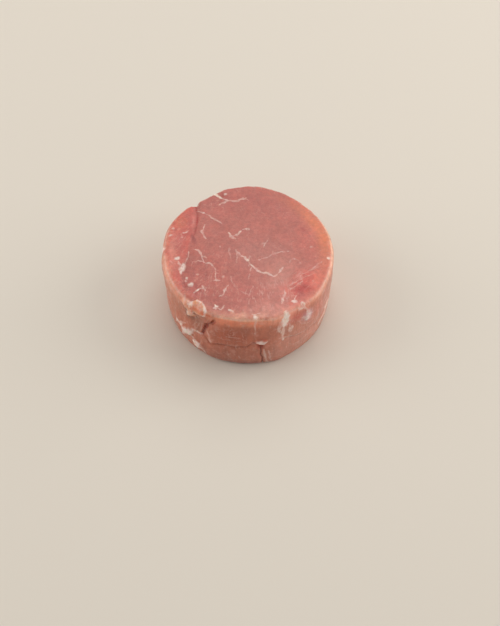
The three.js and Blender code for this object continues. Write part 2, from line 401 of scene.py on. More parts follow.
    def cleft(self, cleft: Cleft, angle: Array, height: Array) -> Array:
        """Measures how strongly a cleft is felt.

        Args:
            cleft: The cleft.
            angle: Angles of the places.
            height: Heights of the places.

        Returns:
            0 away from the cleft and 1 where it is deepest.
        """
        distance, along = self.path_on_wall(cleft.path, angle, height)
        in_from_end = np.minimum(along, 1.0 - along) / self.cleft_run_in
        depth = blend(self.cleft_depth_at_ends, 1.0, np.minimum(1.0, in_from_end))
        return depth * bell(distance, cleft.half_width)

    def lump(self, lump: Lump, angle: Array, height: Array) -> Array:
        """Measures how strongly a lump is felt.

        Args:
            lump: The lump.
            angle: Angles of the places.
            height: Heights of the places.

        Returns:
            0 away from the lump and 1 at its top.
        """
        across = self.along(lump.at[0], angle) / lump.half[0]
        up = (height - lump.at[1]) / lump.half[1]
        return np.exp(-((across**2 + up**2) ** lump.edge))

    def radius(self, angle: Array, height: Array) -> Array:
        """Gives the wall's distance from the upright axis.

        Args:
            angle: Angles of the places.
            height: Heights of the places.

        Returns:
            One radius for each place.
        """
        radius = blend(self.base_outline(angle), self.face_outline(angle), ease(height, 0.0, self.height))
        radius = radius + self.belly * np.sin(math.pi * height / self.height)
        radius = radius + self.lower_band.out * bell(height - self.lower_band.at, self.lower_band.spread)
        angle, height = self.wandered(angle, height)
        for cleft in self.clefts:
            radius = radius - cleft.deep * self.cleft(cleft, angle, height)
        for lump in self.lumps:
            radius = radius + lump.out * self.lump(lump, angle, height)
        return radius


# ---- The form of the upper cut face ----


@dataclass(frozen=True)
class Swell:
    """A low crown or hollow of the cut face."""

    x: float
    y: float
    spread: float
    up: float


@dataclass(frozen=True)
class CutFace:
    """The upper cut face, with the seam where the side muscle lies against the main one."""

    height_above_foot: float = 30.0
    seam: Track = Track((
        (-24.9, 28.5), (-23.4, 24.3), (-22.6, 20.0), (-22.6, 15.7), (-23.1, 11.4), (-24.0, 7.5),
        (-24.8, 4.3), (-25.5, 0.0), (-26.2, -4.5), (-27.3, -9.5), (-28.2, -14.0), (-27.0, -20.0),
    ))
    seam_width: float = 0.42
    seam_depth_at_notch: float = 0.38
    seam_depth_at_end: float = 0.12
    seam_fades_from: float = 0.3
    seam_fades_at: float = 0.62
    seam_valley: float = 0.3
    seam_valley_width: float = 2.0
    side_drop: float = 0.45
    side_shoulder: float = 2.9
    side_past_seam: float = 3.0
    swells: tuple[Swell, ...] = (
        Swell(3, 14, 17, 0.55),
        Swell(19, -14, 8, -0.55),
        Swell(31, -4, 8, -0.5),
        Swell(-30, 8, 8, 0.3),
        Swell(-4, -24, 11, 0.25),
        Swell(-13, 31, 3.5, -0.7),
    )

    def beside_seam(self, x: Array, y: Array) -> Array:
        """Tells the side muscle, left of the seam, from the main one: 1 and 0."""
        ys, xs = zip(*sorted((py, px) for px, py in self.seam.points))
        return ((x < np.interp(y, ys, xs)) & (y > ys[0] - self.side_past_seam)).astype(float)

    def seam_felt(self, x: Array, y: Array) -> Array:
        """Measures how strongly the seam is felt: 1 in it, fading away from it and to its end."""
        distance, along = self.seam.nearest(x, y)
        return bell(distance, self.seam_width) * (1.0 - ease(along, self.seam_fades_from, self.seam_fades_at))

    def height(self, x: Array, y: Array) -> Array:
        """Gives the face's height above the foot.

        Args:
            x: Places to the right.
            y: Places to the back.

        Returns:
            One height for each place.
        """
        distance, along = self.seam.nearest(x, y)
        share = np.sqrt(np.minimum(along / self.seam_fades_at, 1.0))
        depth = blend(self.seam_depth_at_notch, self.seam_depth_at_end, share)
        height = self.height_above_foot - depth * bell(distance, self.seam_width)
        height = height - self.seam_valley * bell(distance, self.seam_valley_width)
        shoulder = 1.0 - bell(distance, self.side_shoulder)
        height = height - self.side_drop * shoulder * self.beside_seam(x, y)
        for swell in self.swells:
            height = height + swell.up * bell(np.hypot(x - swell.x, y - swell.y), swell.spread)
        return height


# ---- Fat ----


@dataclass(frozen=True)
class Thread:
    """A thread of fat: its path, half width and whiteness."""

    name: str
    points: tuple[Point, ...]
    half_width: float = 0.25
    white: float = 0.7


@dataclass(frozen=True)
class Pocket:
    """A grain or pocket of fat: its middle, half sizes, turn and whiteness."""

    name: str
    at: Point
    half: Point
    turned: float = 0.0
    white: float = 1.0

    def depth(self, x: Array, y: Array) -> Array:
        """Measures how deep in the pocket places from its middle are: 1 there, 0.5 at its edge."""
        return 1.0 - 0.5 * np.hypot(*in_halves(x, y, self.half, self.turned))


@dataclass(frozen=True)
class FatField:
    """How deep in fat each place is, from 0 to 1 with the edge at a half, and how white it is."""

    depth: Array
    white: Array

    def with_more(self, depth: Array, white: Array | float) -> "FatField":
        """Adds more fat, keeping the deeper at each place."""
        deeper = depth > self.depth
        return FatField(np.where(deeper, depth, self.depth), np.where(deeper, white, self.white))


@dataclass(frozen=True)
class Marbling:
    """The fat in the upper cut face; places are x and y in the finished part's frame."""

    jitter: float = 0.3
    jitter_size: float = 1.6
    swell_size: float = 1.3
    fade_size: float = 1.6
    twig_every: float = 5.5
    twig_steps: int = 3
    twig_half_width: float = 0.15
    twig_leaves_at: Point = (0.5, 1.3)
    twig_bend: float = 0.5
    twig_reach: Point = (0.4, 0.9)
    twig_white: Point = (0.3, 0.6)
    twigs_from_white: float = 0.4
    threads: tuple[Thread, ...] = (
        Thread("main, thick start", ((-2.5, -2.4), (-1.5, -3.1), (-0.3, -4.0), (0.6, -4.9)), 0.6, 1.0),
        Thread(
            "main",
            (
                (0.6, -4.9), (0.9, -6.1), (1.8, -7.9), (2.8, -9.1), (4.2, -10.3), (5.6, -11.2),
                (6.8, -11.7), (8.2, -11.1), (9.7, -12.3), (11.1, -13.3), (12.0, -13.0), (13.0, -12.1),
            ),
            0.37, 0.64,
        ),
        Thread("main, end", ((13.0, -12.1), (14.0, -10.6), (14.9, -9.4), (15.4, -8.5)), 0.27, 0.5),
        Thread("main, spur", ((1.0, -2.6), (0.7, -4.7)), 0.30, 0.45),
        Thread("main, lead-in", ((-4.3, -0.2), (-3.4, -1.2), (-2.5, -2.4)), 0.27, 0.4),
        Thread("main, branch down", ((1.8, -8.5), (1.0, -12.4), (0.2, -15.7)), 0.24, 0.3),
        Thread(
            "right arc",
            ((5.2, -4.6), (7.3, -3.7), (8.6, -3.2), (10.5, -1.8), (12.4, -0.9), (14.4, -0.3), (18.2, 0.1)),
            0.29, 0.5,
        ),
        Thread(
            "right arch",
            ((18.1, -6.4), (18.7, -4.3), (20.4, -3.4), (22.3, -5.0), (23.1, -6.1)),
            0.27, 0.2,
        ),
        Thread("upper cross", ((-8.2, 10.7), (-7.7, 9.2), (-7.5, 8.0), (-6.6, 7.6), (-5.4, 7.0)), 0.38, 0.7),
        Thread("upper cross, arm", ((-7.5, 8.0), (-6.3, 8.3), (-5.0, 8.9), (-3.8, 9.5)), 0.3, 0.6),
        Thread("upper dash", ((-4.6, 8.7), (-3.8, 9.5), (-3.1, 10.7), (-2.4, 11.5)), 0.38, 0.62),
        Thread("upper hook", ((-2.2, 11.9), (-1.7, 12.2), (-0.8, 12.5), (0.2, 12.8), (0.8, 12.1)), 0.48, 0.8),
        Thread("tick", ((8.6, 6.2), (7.9, 4.7), (7.3, 3.4), (6.9, 2.2)), 0.29, 0.5),
        Thread("short, left", ((-7.8, 1.9), (-7.9, 0.0), (-7.4, -3.4)), 0.29, 0.28),
        Thread("short, right", ((-5.3, 0.9), (-4.3, -0.8), (-4.7, -3.4), (-5.0, -5.9)), 0.32, 0.3),
        Thread(
            "left",
            ((-24.0, 1.7), (-22.3, 1.4), (-20.9, 0.5), (-20.1, -0.9), (-19.6, -2.7), (-19.3, -4.9)),
            0.37, 0.6,
        ),
        Thread("left, west", ((-19.2, -5.2), (-20.5, -5.3), (-21.7, -5.0), (-22.6, -5.7)), 0.3, 0.45),
        Thread("left, west tip", ((-22.4, -5.3), (-23.3, -5.2), (-23.9, -6.9), (-24.0, -8.9)), 0.22, 0.25),
        Thread(
            "left, east",
            (
                (-19.2, -5.4), (-18.0, -6.3), (-16.6, -6.2), (-15.5, -6.9), (-14.6, -7.8),
                (-13.9, -9.8), (-13.6, -11.5), (-13.8, -13.3), (-13.3, -15.1),
            ),
            0.33, 0.55,
        ),
        Thread("left, foot", ((-14.3, -15.9), (-13.3, -15.4), (-11.4, -15.9)), 0.37, 0.7),
        Thread("beside the seam", ((-25.5, 0.3), (-25.9, -2.7), (-26.3, -4.6), (-26.7, -7.3)), 0.29, 0.36),
        Thread("side dash, back", ((-28.3, 10.6), (-27.4, 11.0), (-26.4, 11.5)), 0.34, 0.7),
        Thread("side dash, left", ((-34.2, 9.3), (-33.0, 9.7)), 0.39, 0.8),
        Thread("side line", ((-29.6, -5.5), (-29.0, -7.0), (-28.0, -8.6)), 0.37, 0.7),
        Thread("side line, faint", ((-33.3, -4.4), (-32.6, -6.0)), 0.27, 0.4),
        Thread("zigzag, top", ((-19.2, -18.1), (-18.8, -19.3), (-20.6, -20.0)), 0.34, 0.7),
        Thread("zigzag, leg", ((-18.8, -19.3), (-18.0, -21.4)), 0.27, 0.5),
        Thread("zigzag, foot", ((-20.6, -20.0), (-21.7, -21.3), (-22.7, -22.0)), 0.44, 0.85),
        Thread(
            "hook",
            ((-8.1, -18.1), (-8.6, -19.3), (-9.4, -20.7), (-9.9, -22.5), (-10.3, -23.4)),
            0.32, 0.6,
        ),
        Thread("hook, point", ((-10.3, -23.4), (-11.8, -23.9)), 0.39, 0.7),
        Thread("back dash", ((-15.2, 33.8), (-13.2, 32.5), (-11.7, 31.4)), 0.51, 1.0),
        Thread(
            "back",
            ((-11.7, 31.1), (-9.1, 29.3), (-6.6, 29.1), (-4.4, 29.4), (-2.2, 30.1), (-0.4, 30.8)),
            0.41, 0.55,
        ),
        Thread("back, branch", ((-8.9, 29.1), (-11.1, 27.8), (-12.9, 26.8)), 0.37, 0.5),
        Thread(
            "from the notch",
            ((-22.3, 23.6), (-19.7, 22.1), (-16.9, 20.3), (-13.9, 17.7), (-11.4, 15.7)),
            0.32, 0.42,
        ),
        Thread(
            "upper left squiggle",
            ((-19.0, 15.0), (-19.7, 12.8), (-20.2, 10.7), (-19.2, 9.5), (-18.4, 7.1)),
            0.29, 0.5,
        ),
        Thread("front hook", ((20.9, -23.7), (20.2, -24.7), (20.1, -25.8)), 0.3, 0.6),
        Thread(
            "front scrap, right",
            ((22.6, -27.2), (23.3, -28.6), (23.6, -29.4), (23.2, -30.2), (22.3, -30.7)),
            0.44, 0.85,
        ),
        Thread(
            "front thread, beaded",
            ((15.8, -22.2), (15.6, -23.3), (15.0, -24.7), (14.6, -26.4), (14.5, -27.9)),
            0.36, 0.5,
        ),
        Thread("torn strand, back", ((18.1, -20.0), (19.9, -18.6), (21.3, -17.2), (23.6, -15.5)), 0.34, 0.5),
        Thread("torn strand, front", ((17.7, -18.6), (19.5, -16.7), (21.3, -15.0)), 0.3, 0.35),
        Thread("rim tee", ((2.2, -33.6), (3.4, -33.4), (5.3, -33.0)), 0.29, 0.55),
        Thread("rim scrap, left", ((-13.3, -28.6), (-12.6, -29.4), (-13.3, -30.9)), 0.44, 0.85),
        Thread("rim scrap, foot", ((-13.9, -30.4), (-12.4, -30.2), (-11.2, -31.1)), 0.37, 0.6),
        Thread("rim scrap, middle", ((-9.6, -29.0), (-10.1, -30.0), (-11.2, -30.9)), 0.34, 0.55),
        Thread("rim scrap, right", ((-7.7, -30.9), (-6.1, -32.3)), 0.37, 0.7),
        Thread(
            "faint vee, left",
            ((-7.2, -13.6), (-6.2, -17.2), (-4.3, -20.7), (-2.0, -22.0), (0.2, -23.4)),
            0.27, 0.22,
        ),
        Thread("faint vee, right", ((2.3, -19.0), (1.6, -21.3), (0.6, -24.0)), 0.27, 0.3),
        Thread("red strand, upper", ((24.8, -11.2), (28.2, -9.0), (30.4, -6.8), (32.2, -4.6)), 0.32, 0.3),
        Thread("red strand, lower", ((21.7, -14.2), (23.7, -11.6), (25.9, -10.7)), 0.32, 0.45),
    )
    pockets: tuple[Pocket, ...] = (
        Pocket("side, upper", (-30.1, -3.4), (1.2, 0.95), 0, 0.95),
        Pocket("side, wedge", (-27.9, -8.4), (1.25, 1.9), -14, 1.0),
        Pocket("side, tip", (-28.5, -10.9), (0.55, 1.5), -10, 0.95),
        Pocket("low", (-23.9, -17.8), (1.15, 0.95), 15, 0.78),
        Pocket("low, speck", (-26.0, -14.4), (0.5, 0.8), 0, 0.8),
        Pocket("low, second speck", (-26.4, -15.8), (0.4, 0.6), 0, 0.6),
        Pocket("side grain, back", (-32.8, 13.3), (0.6, 0.6), 0, 0.75),
        Pocket("side grain, small", (-28.4, 8.1), (0.45, 0.45), 0, 0.55),
        Pocket("back grain", (-10.1, 33.6), (0.75, 0.6), 0, 1.0),
        Pocket("notch grain", (-19.7, 22.1), (0.6, 0.5), 0, 0.85),
        Pocket("arc grain, left", (5.2, -4.6), (0.55, 0.45), 0, 0.65),
        Pocket("arc grain, middle", (8.4, -3.3), (0.75, 0.4), 20, 0.6),
        Pocket("right grain", (20.5, -3.8), (0.5, 0.45), 0, 0.65),
        Pocket("right grain, far", (28.0, 2.8), (0.6, 0.45), 0, 0.28),
        Pocket("rim grain", (35.2, -3.1), (0.8, 0.65), 0, 1.0),
        Pocket("front", (19.6, -26.7), (1.0, 0.75), 10, 1.0),
        Pocket("tee grain", (3.4, -34.7), (0.7, 0.9), 0, 0.9),
        Pocket("foot grain", (-13.3, -15.5), (0.6, 0.6), 0, 0.85),
        Pocket("beaded grain", (14.8, -25.8), (0.6, 1.0), 10, 0.8),
        Pocket("beaded grain, back", (15.8, -22.4), (0.55, 0.7), 0, 0.6),
        Pocket("main grain", (-1.0, -3.4), (0.9, 0.7), -40, 0.9),
        Pocket("cross grain", (-7.4, 8.4), (0.6, 0.6), 0, 0.7),
        Pocket("mid grain", (-10.3, -13.6), (0.4, 0.6), 0, 0.4),
        Pocket("squiggle grain", (-21.5, -12.4), (0.6, 0.5), 0, 0.35),
        Pocket("upper grain", (-11.7, 2.8), (0.45, 0.4), 0, 0.35),
    )

    def twigs(self) -> list[Thread]:
        """Grows short fine branches off the longer threads.

        Returns:
            The branches, the same on every run.
        """
        draw = Seed.TWIGS.draw()
        twigs = []
        for thread in self.threads:
            ends = np.array(thread.points, dtype=float)
            length = np.hypot(*np.diff(ends, axis=0).T).sum()
            if thread.white < self.twigs_from_white:
                continue
            for _ in range(int(length / self.twig_every + draw.uniform())):
                at = draw.integers(len(ends) - 1)
                step = ends[at + 1] - ends[at]
                start = ends[at] + step * draw.uniform()
                aside = draw.choice((-1, 1)) * draw.uniform(*self.twig_leaves_at)
                course = math.atan2(step[1], step[0]) + aside
                points = [start]
                for _ in range(self.twig_steps):
                    course += draw.uniform(-self.twig_bend, self.twig_bend)
                    reach = draw.uniform(*self.twig_reach)
                    points.append(points[-1] + reach * np.array((math.cos(course), math.sin(course))))
                path = tuple((float(x), float(y)) for x, y in points)
                white = thread.white * draw.uniform(*self.twig_white)
                twigs.append(Thread("twig", path, self.twig_half_width, white))
        return twigs

    def field(self, x: Array, y: Array) -> FatField:
        """Measures the fat of the cut face.

        Args:
            x: Places to the right.
            y: Places to the back.

        Returns:
            How deep in fat each place is and how white it is.
        """
        places = np.column_stack((x, y, np.zeros(len(x))))
        x = x + self.jitter * Grain(Seed.THREAD_ASIDE).layered(places, self.jitter_size, 2)
        y = y + self.jitter * Grain(Seed.THREAD_BACK).layered(places, self.jitter_size, 2)
        swell = Grain(Seed.THREAD_SWELL).layered(places, self.swell_size, 2)
        fade = 0.85 + 0.5 * Grain(Seed.THREAD_FADE).at(places, self.fade_size)
        fat = FatField(np.zeros(len(x)), np.zeros(len(x)))
        for thread in (*self.threads, *self.twigs()):
            distance, along = Track(thread.points).nearest(x, y)
            taper = 0.7 + 0.4 * np.sin(math.pi * along)
            width = thread.half_width * taper * np.clip(1.0 + 0.75 * swell, 0.35, 2.0)
            fat = fat.with_more(1.0 - 0.5 * distance / width, thread.white * fade)
        for pocket in self.pockets:
            depth = pocket.depth(x - pocket.at[0], y - pocket.at[1]) + 0.15 * swell
            fat = fat.with_more(depth, pocket.white * (0.5 + 0.5 * fade))
        return fat


@dataclass(frozen=True)
class Patch:
    """A patch with a drawn outline, of angles and distances down over the rim.

    The distance down is below 0 on the cut face, and counts from the rim on the wall.
    """

    name: str
    outline: tuple[Point, ...]
    out: float

    def inside(self, wall: Wall, angle: Array, down: Array) -> Array:
        """Measures how far inside the outline places are.

        Args:
            wall: The wall that the patch lies on.
            angle: Angles of the places.
            down: How far down over the rim the places are.

        Returns:
            Distances in millimetres, below 0 outside.
        """
        start = self.outline[0][0]
        corners = [(float(wall.along(start, a)), d) for a, d in self.outline]
        u = wall.along(start, angle)
        distance, _ = Track((*corners, corners[0])).nearest(u, down)
        within = np.zeros(np.shape(u), dtype=bool)
        for (ax, ay), (bx, by) in zip(corners, (*corners[1:], corners[0])):
            crosses = (ay > down) != (by > down)
            within ^= crosses & (u < ax + (bx - ax) * (down - ay) / (by - ay if by != ay else 1.0))
        return np.where(within, distance, -distance)


@dataclass(frozen=True)
class Flap:
    """A loose flap of fatty skin at the front left, folded over the rim, and the gap beside it."""

    lobe: Patch = Patch(
        "flap, tan lobe",
        (
            (229.6, -0.6), (231.9, -2.9), (236.3, -3.2), (240.2, -2.2), (242.3, -0.4), (242.6, 1.9),
            (241.2, 3.4), (238.6, 4.1), (235.1, 4.0), (232.4, 3.4), (230.6, 1.6),
        ),
        0.55,
    )
    white_lobe: Patch = Patch(
        "flap, white lobe",
        (
            (221.5, 2.1), (223.7, 0.6), (226.9, -0.1), (229.9, -0.7), (231.4, 1.3), (232.3, 3.2),
            (232.9, 5.0), (232.2, 8.0), (229.8, 9.8), (228.0, 8.6), (227.6, 5.6), (225.4, 4.9),
            (223.2, 4.3),
        ),
        0.65,
    )
    gap: Patch = Patch(
        "gap",
        (
            (249.9, 3.4), (249.5, 4.3), (247.0, 6.0), (245.1, 7.3), (243.4, 9.3), (242.3, 12.2),
            (241.2, 14.3), (240.3, 15.8), (239.2, 15.5), (239.6, 13.2), (240.3, 10.8),
            (241.4, 8.9), (242.9, 7.7), (244.8, 6.6), (246.7, 5.0),
        ),
        -0.6,
    )
    pale: tuple[Thread, ...] = (
        Thread(
            "flap, edge on the face",
            ((229.8, -0.2), (231.8, -2.2), (235.2, -2.8), (238.2, -2.5)),
            0.6, 0.75,
        ),
        Thread(
            "flap, edge at the right",
            ((238.2, -2.5), (240.3, -1.7), (241.7, -0.6), (242.2, 0.9)),
            0.4, 0.7,
        ),
        Thread("flap, hook", ((242.2, 0.9), (241.9, 2.1), (240.7, 2.9)), 0.3, 0.5),
        Thread(
            "flap, fringe",
            ((229.6, 5.4), (232.6, 4.5), (235.2, 4.0), (237.9, 3.4), (240.4, 2.5)),
            0.5, 0.4,
        ),
        Thread("flap, inner fold", ((232.6, -0.8), (234.6, -1.6), (236.8, -1.4)), 0.4, 0.35),
        Thread(
            "flap, between the lobes",
            ((229.9, -0.4), (230.7, 2.1), (231.2, 4.2), (230.0, 6.8)),
            0.6, 0.7,
        ),
        Thread(
            "flap, left edge",
            ((221.8, 1.6), (223.4, 3.6), (226.0, 4.7), (227.6, 6.0), (228.4, 8.6)),
            0.5, 0.6,
        ),
    )
    deep_band: Thread = Thread(
        "flap, deep band",
        ((230.6, 2.4), (232.4, 1.7), (234.6, 1.3), (236.9, 1.0), (239.2, 0.9), (241.6, 1.2), (244.6, 1.9)),
        1.2,
    )

    def relief(self, wall: Wall, angle: Array, down: Array) -> Array:
        """Works out the relief of the flap and of the gap beside it.

        Args:
            wall: The wall that the flap lies on.
            angle: Angles of the places.
            down: How far down over the rim the places are.

        Returns:
            How far each place stands out of the wall, below 0 in the gap.
        """
        total = np.zeros(np.shape(angle))
        for patch in (self.lobe, self.white_lobe):
            inside = patch.inside(wall, angle, down)
            stands = ease(inside, -0.35, 0.9) * (0.75 + 0.25 * ease(inside, 0.3, 2.0))
            total = np.maximum(total, patch.out * stands * blend(0.3, 1.0, ease(down, -2.0, 2.0)))
        return total + self.gap.out * ease(self.gap.inside(wall, angle, down), -0.3, 0.5)


@dataclass(frozen=True)
class WallFat:
    """Scraps of fat and thin film on the wall; places are angle and height."""

    threads: tuple[Thread, ...] = (
        Thread("strip, tail", ((293.0, 22.6), (292.5, 19.6), (292.1, 17.4), (292.2, 14.7)), 0.72, 0.68),
        Thread("strip, side hair", ((296.6, 23.8), (298.4, 20.4), (297.6, 17.0)), 0.3, 0.35),
        Thread("scrap, back", ((308.6, 30.3), (309.2, 29.2), (308.1, 28.1), (306.4, 28.1)), 0.45, 0.9),
        Thread("scrap, side", ((305.0, 28.9), (305.6, 28.2), (308.1, 28.3)), 0.5, 0.75),
        Thread("scrap, down to the patch", ((308.6, 28.3), (309.6, 26.6), (311.2, 25.6)), 0.4, 0.6),
        Thread("under the tee", ((275.3, 30.3), (274.9, 28.3), (274.7, 25.6), (274.7, 21.4)), 0.36, 0.42),
        Thread(
            "waist ridge, right",
            ((289.5, 16.0), (293.4, 15.6), (300.9, 12.9), (308.5, 12.4), (320, 11.6)),
            0.32, 0.4,
        ),
        Thread(
            "right strand, upper",
            ((303.5, 21.5), (307.0, 18.0), (311.0, 16.4), (316.0, 15.8)),
            0.26, 0.25,
        ),
        Thread("right strand, lower", ((299.0, 8.6), (304.0, 8.0), (310.0, 8.6), (316.0, 8.2)), 0.26, 0.22),
        Thread(
            "right edge",
            ((345.0, 12.5), (340.0, 10.4), (334.5, 9.4), (329.0, 8.8), (323.0, 8.2)),
            1.0, 0.8,
        ),
        Thread("right edge, upper", ((349.0, 22.0), (347.5, 17.0), (345.0, 12.5)), 0.8, 0.7),
        Thread("low, first speck", ((215.6, 9.0), (217.2, 11.3), (219.6, 11.4)), 0.75, 0.85),
        Thread("low, tan edge", ((221.4, 12.7), (224.0, 13.2), (226.6, 14.2)), 0.5, 0.4),
        Thread("low, tail", ((226.6, 9.2), (224.6, 7.0), (222.6, 4.4)), 1.0, 0.85),
        Thread("low, between", ((231.4, 9.6), (233.2, 8.6), (234.6, 7.8)), 0.4, 0.7),
        Thread("low, last", ((239.6, 5.2), (241.2, 3.7), (242.6, 2.2)), 0.6, 0.7),
        Thread("in the hollow", ((238.4, 19.6), (238.2, 16.4), (237.0, 14.2)), 0.36, 0.22),
        Thread("in the hollow, second", ((236.0, 18.8), (234.6, 15.4)), 0.32, 0.2),
        Thread("in the hollow, third", ((232.6, 16.6), (235.4, 13.9), (238.6, 13.4)), 0.45, 0.25),
        Thread("in the hollow, fourth", ((233.8, 21.6), (233.4, 18.4), (232.0, 15.8)), 0.3, 0.18),
        Thread("edge of the panel", ((243.1, 17.3), (244.7, 16.0), (245.5, 13.6), (246.4, 11.9)), 0.5, 0.3),
        Thread("beside the split", ((279.9, 11.0), (280.7, 6.3), (281.5, 2.3)), 0.36, 0.5),
        Thread("beside the split, second", ((282.6, 10.2), (283.2, 6.6), (284.0, 2.8)), 0.36, 0.42),
        Thread("beside the split, third", ((280.6, 3.0), (282.6, 1.8), (284.6, 2.2)), 0.3, 0.4),
        Thread("scratch", ((255.9, 18.6), (259.9, 18.5), (265.9, 18.4)), 0.24, 0.28),
        Thread("scratch, lower", ((250.6, 16.9), (254.4, 16.6), (258.6, 16.8)), 0.22, 0.22),
        Thread("scratch, short", ((262.6, 16.3), (266.0, 16.6)), 0.22, 0.2),
    )
    pockets: tuple[Pocket, ...] = (
        Pocket("nub", (278.5, 16.4), (2.25, 0.8), -4, 0.8),
        Pocket("strip, head", (295.3, 28.0), (1.3, 2.2), 6, 1.35),
        Pocket("strip, middle", (293.8, 25.2), (1.5, 3.0), 6, 1.25),
        Pocket("strip, left film", (289.9, 23.4), (0.9, 2.5), -4, 0.5),
        Pocket("strip, right film", (298.4, 18.9), (1.2, 1.8), 0, 0.7),
        Pocket("patch, upper", (311.2, 24.0), (1.1, 1.0), 12, 0.6),
        Pocket("patch, lower", (311.0, 21.2), (2.2, 1.9), 0, 0.7),
        Pocket("low, white", (227.2, 10.2), (3.9, 2.1), 40, 1.15),
        Pocket("low, film to the hollow", (236.0, 13.9), (2.2, 0.7), 4, 0.6),
        Pocket("low, second white", (237.3, 6.5), (2.5, 1.6), -16, 1.1),
        Pocket("low, upper corner", (221.0, 11.2), (2.2, 1.2), 24, 0.75),
        Pocket("left edge", (177.6, 27.7), (1.9, 1.1), 0, 1.05),
        Pocket("back, wide", (86, 20), (4.2, 1.2), 4, 0.7),
        Pocket("back, low", (112, 6.5), (4.4, 1.0), -6, 0.8),
        Pocket("right", (14, 19), (1.1, 3.8), 8, 0.7),
    )
    scattered: int = 16
    scattered_steps: int = 3
    scattered_angles: Point = (8.0, 205.0)
    scattered_heights: Point = (4.0, 27.0)
    scattered_lean: float = 1.6
    scattered_bend: float = 0.8
    scattered_drop: Point = (1.0, 2.6)
    scattered_half_width: Point = (0.25, 0.6)
    scattered_white: Point = (0.3, 0.75)

    def scattered_threads(self) -> list[Thread]:
        """Lays short strands over the back of the wall, like those that show at the front.

        Returns:
            The strands, the same on every run.
        """
        draw = Seed.SCATTERED_STRANDS.draw()
        strands = []
        for _ in range(self.scattered):
            path = [(draw.uniform(*self.scattered_angles), draw.uniform(*self.scattered_heights))]
            lean = draw.uniform(-self.scattered_lean, self.scattered_lean)
            for _ in range(self.scattered_steps):
                lean += draw.uniform(-self.scattered_bend, self.scattered_bend)
                path.append((path[-1][0] + lean, path[-1][1] - draw.uniform(*self.scattered_drop)))
            half_width = draw.uniform(*self.scattered_half_width)
            strands.append(Thread("strand", tuple(path), half_width, draw.uniform(*self.scattered_white)))
        return strands

    def field(self, wall: Wall, angle: Array, height: Array, ragged: Array) -> FatField:
        """Measures the fat of the wall.

        Args:
            wall: The wall that carries it.
            angle: Angles of the places.
            height: Heights of the places.
            ragged: Noise that makes the edges uneven.

        Returns:
            How deep in fat each place is and how white it is.
        """
        fat = FatField(np.zeros(len(angle)), np.zeros(len(angle)))
        for thread in (*self.threads, *self.scattered_threads()):
            distance, along = wall.path_on_wall(thread.points, angle, height)
            width = thread.half_width * (0.75 + 0.35 * np.sin(math.pi * along)) * (1.0 + 0.45 * ragged)
            fat = fat.with_more(1.0 - 0.5 * distance / width, thread.white * (0.85 + 0.3 * ragged))
        for pocket in self.pockets:
            depth = pocket.depth(wall.along(pocket.at[0], angle), height - pocket.at[1])
            sharp = 0.5 + 1.7 * (depth - 0.5)
            fat = fat.with_more(sharp + 0.25 * ragged, pocket.white * (0.92 + 0.35 * ragged))
        return fat


# ---- The colour of the lean ----


@dataclass(frozen=True)
class Spot:
    """A soft patch of the meat: its middle, half sizes, turn and share."""

    name: str
    at: Point
    half: Point
    turned: float = 0.0
    share: float = 1.0

    def felt(self, x: Array, y: Array) -> Array:
        """Measures how strongly the patch is felt at places given from its middle."""
        across, up = in_halves(x, y, self.half, self.turned)
        return self.share * np.exp(-(across**2 + up**2))

    def felt_on_face(self, x: Array, y: Array) -> Array:
        """Measures how strongly the patch is felt at places on the cut face."""
        return self.felt(x - self.at[0], y - self.at[1])


@dataclass(frozen=True)
class Tint(Spot):
    """A soft patch of another colour in the lean."""

    colour: Colour = field(kw_only=True)


@dataclass(frozen=True)
class Arc:
    """A stretch of the rim that takes a colour: its angle, its spread and its share."""

    at: float
    spread: float
    share: float = 1.0


@dataclass(frozen=True)
class RimStreak:
    """A streak along the rim: its angle and spread, how far down and how broad, and its share."""

    name: str
    colour: Colour
    at: float
    spread: float
    down: float
    breadth: float
    share: float
    uneven: float = 0.3
    face_only: bool = False

    def felt(self, angle: Array, down: Array, ragged: Array) -> Array:
        """Measures how strongly the streak is felt.

        Args:
            angle: Angles of the places.
            down: How far down over the rim the places are.
            ragged: Noise that makes it uneven.

        Returns:
            One share for each place.
        """
        share = self.share + self.uneven * ragged
        return share * bell(turn_to(self.at, angle), self.spread) * bell(down - self.down, self.breadth)


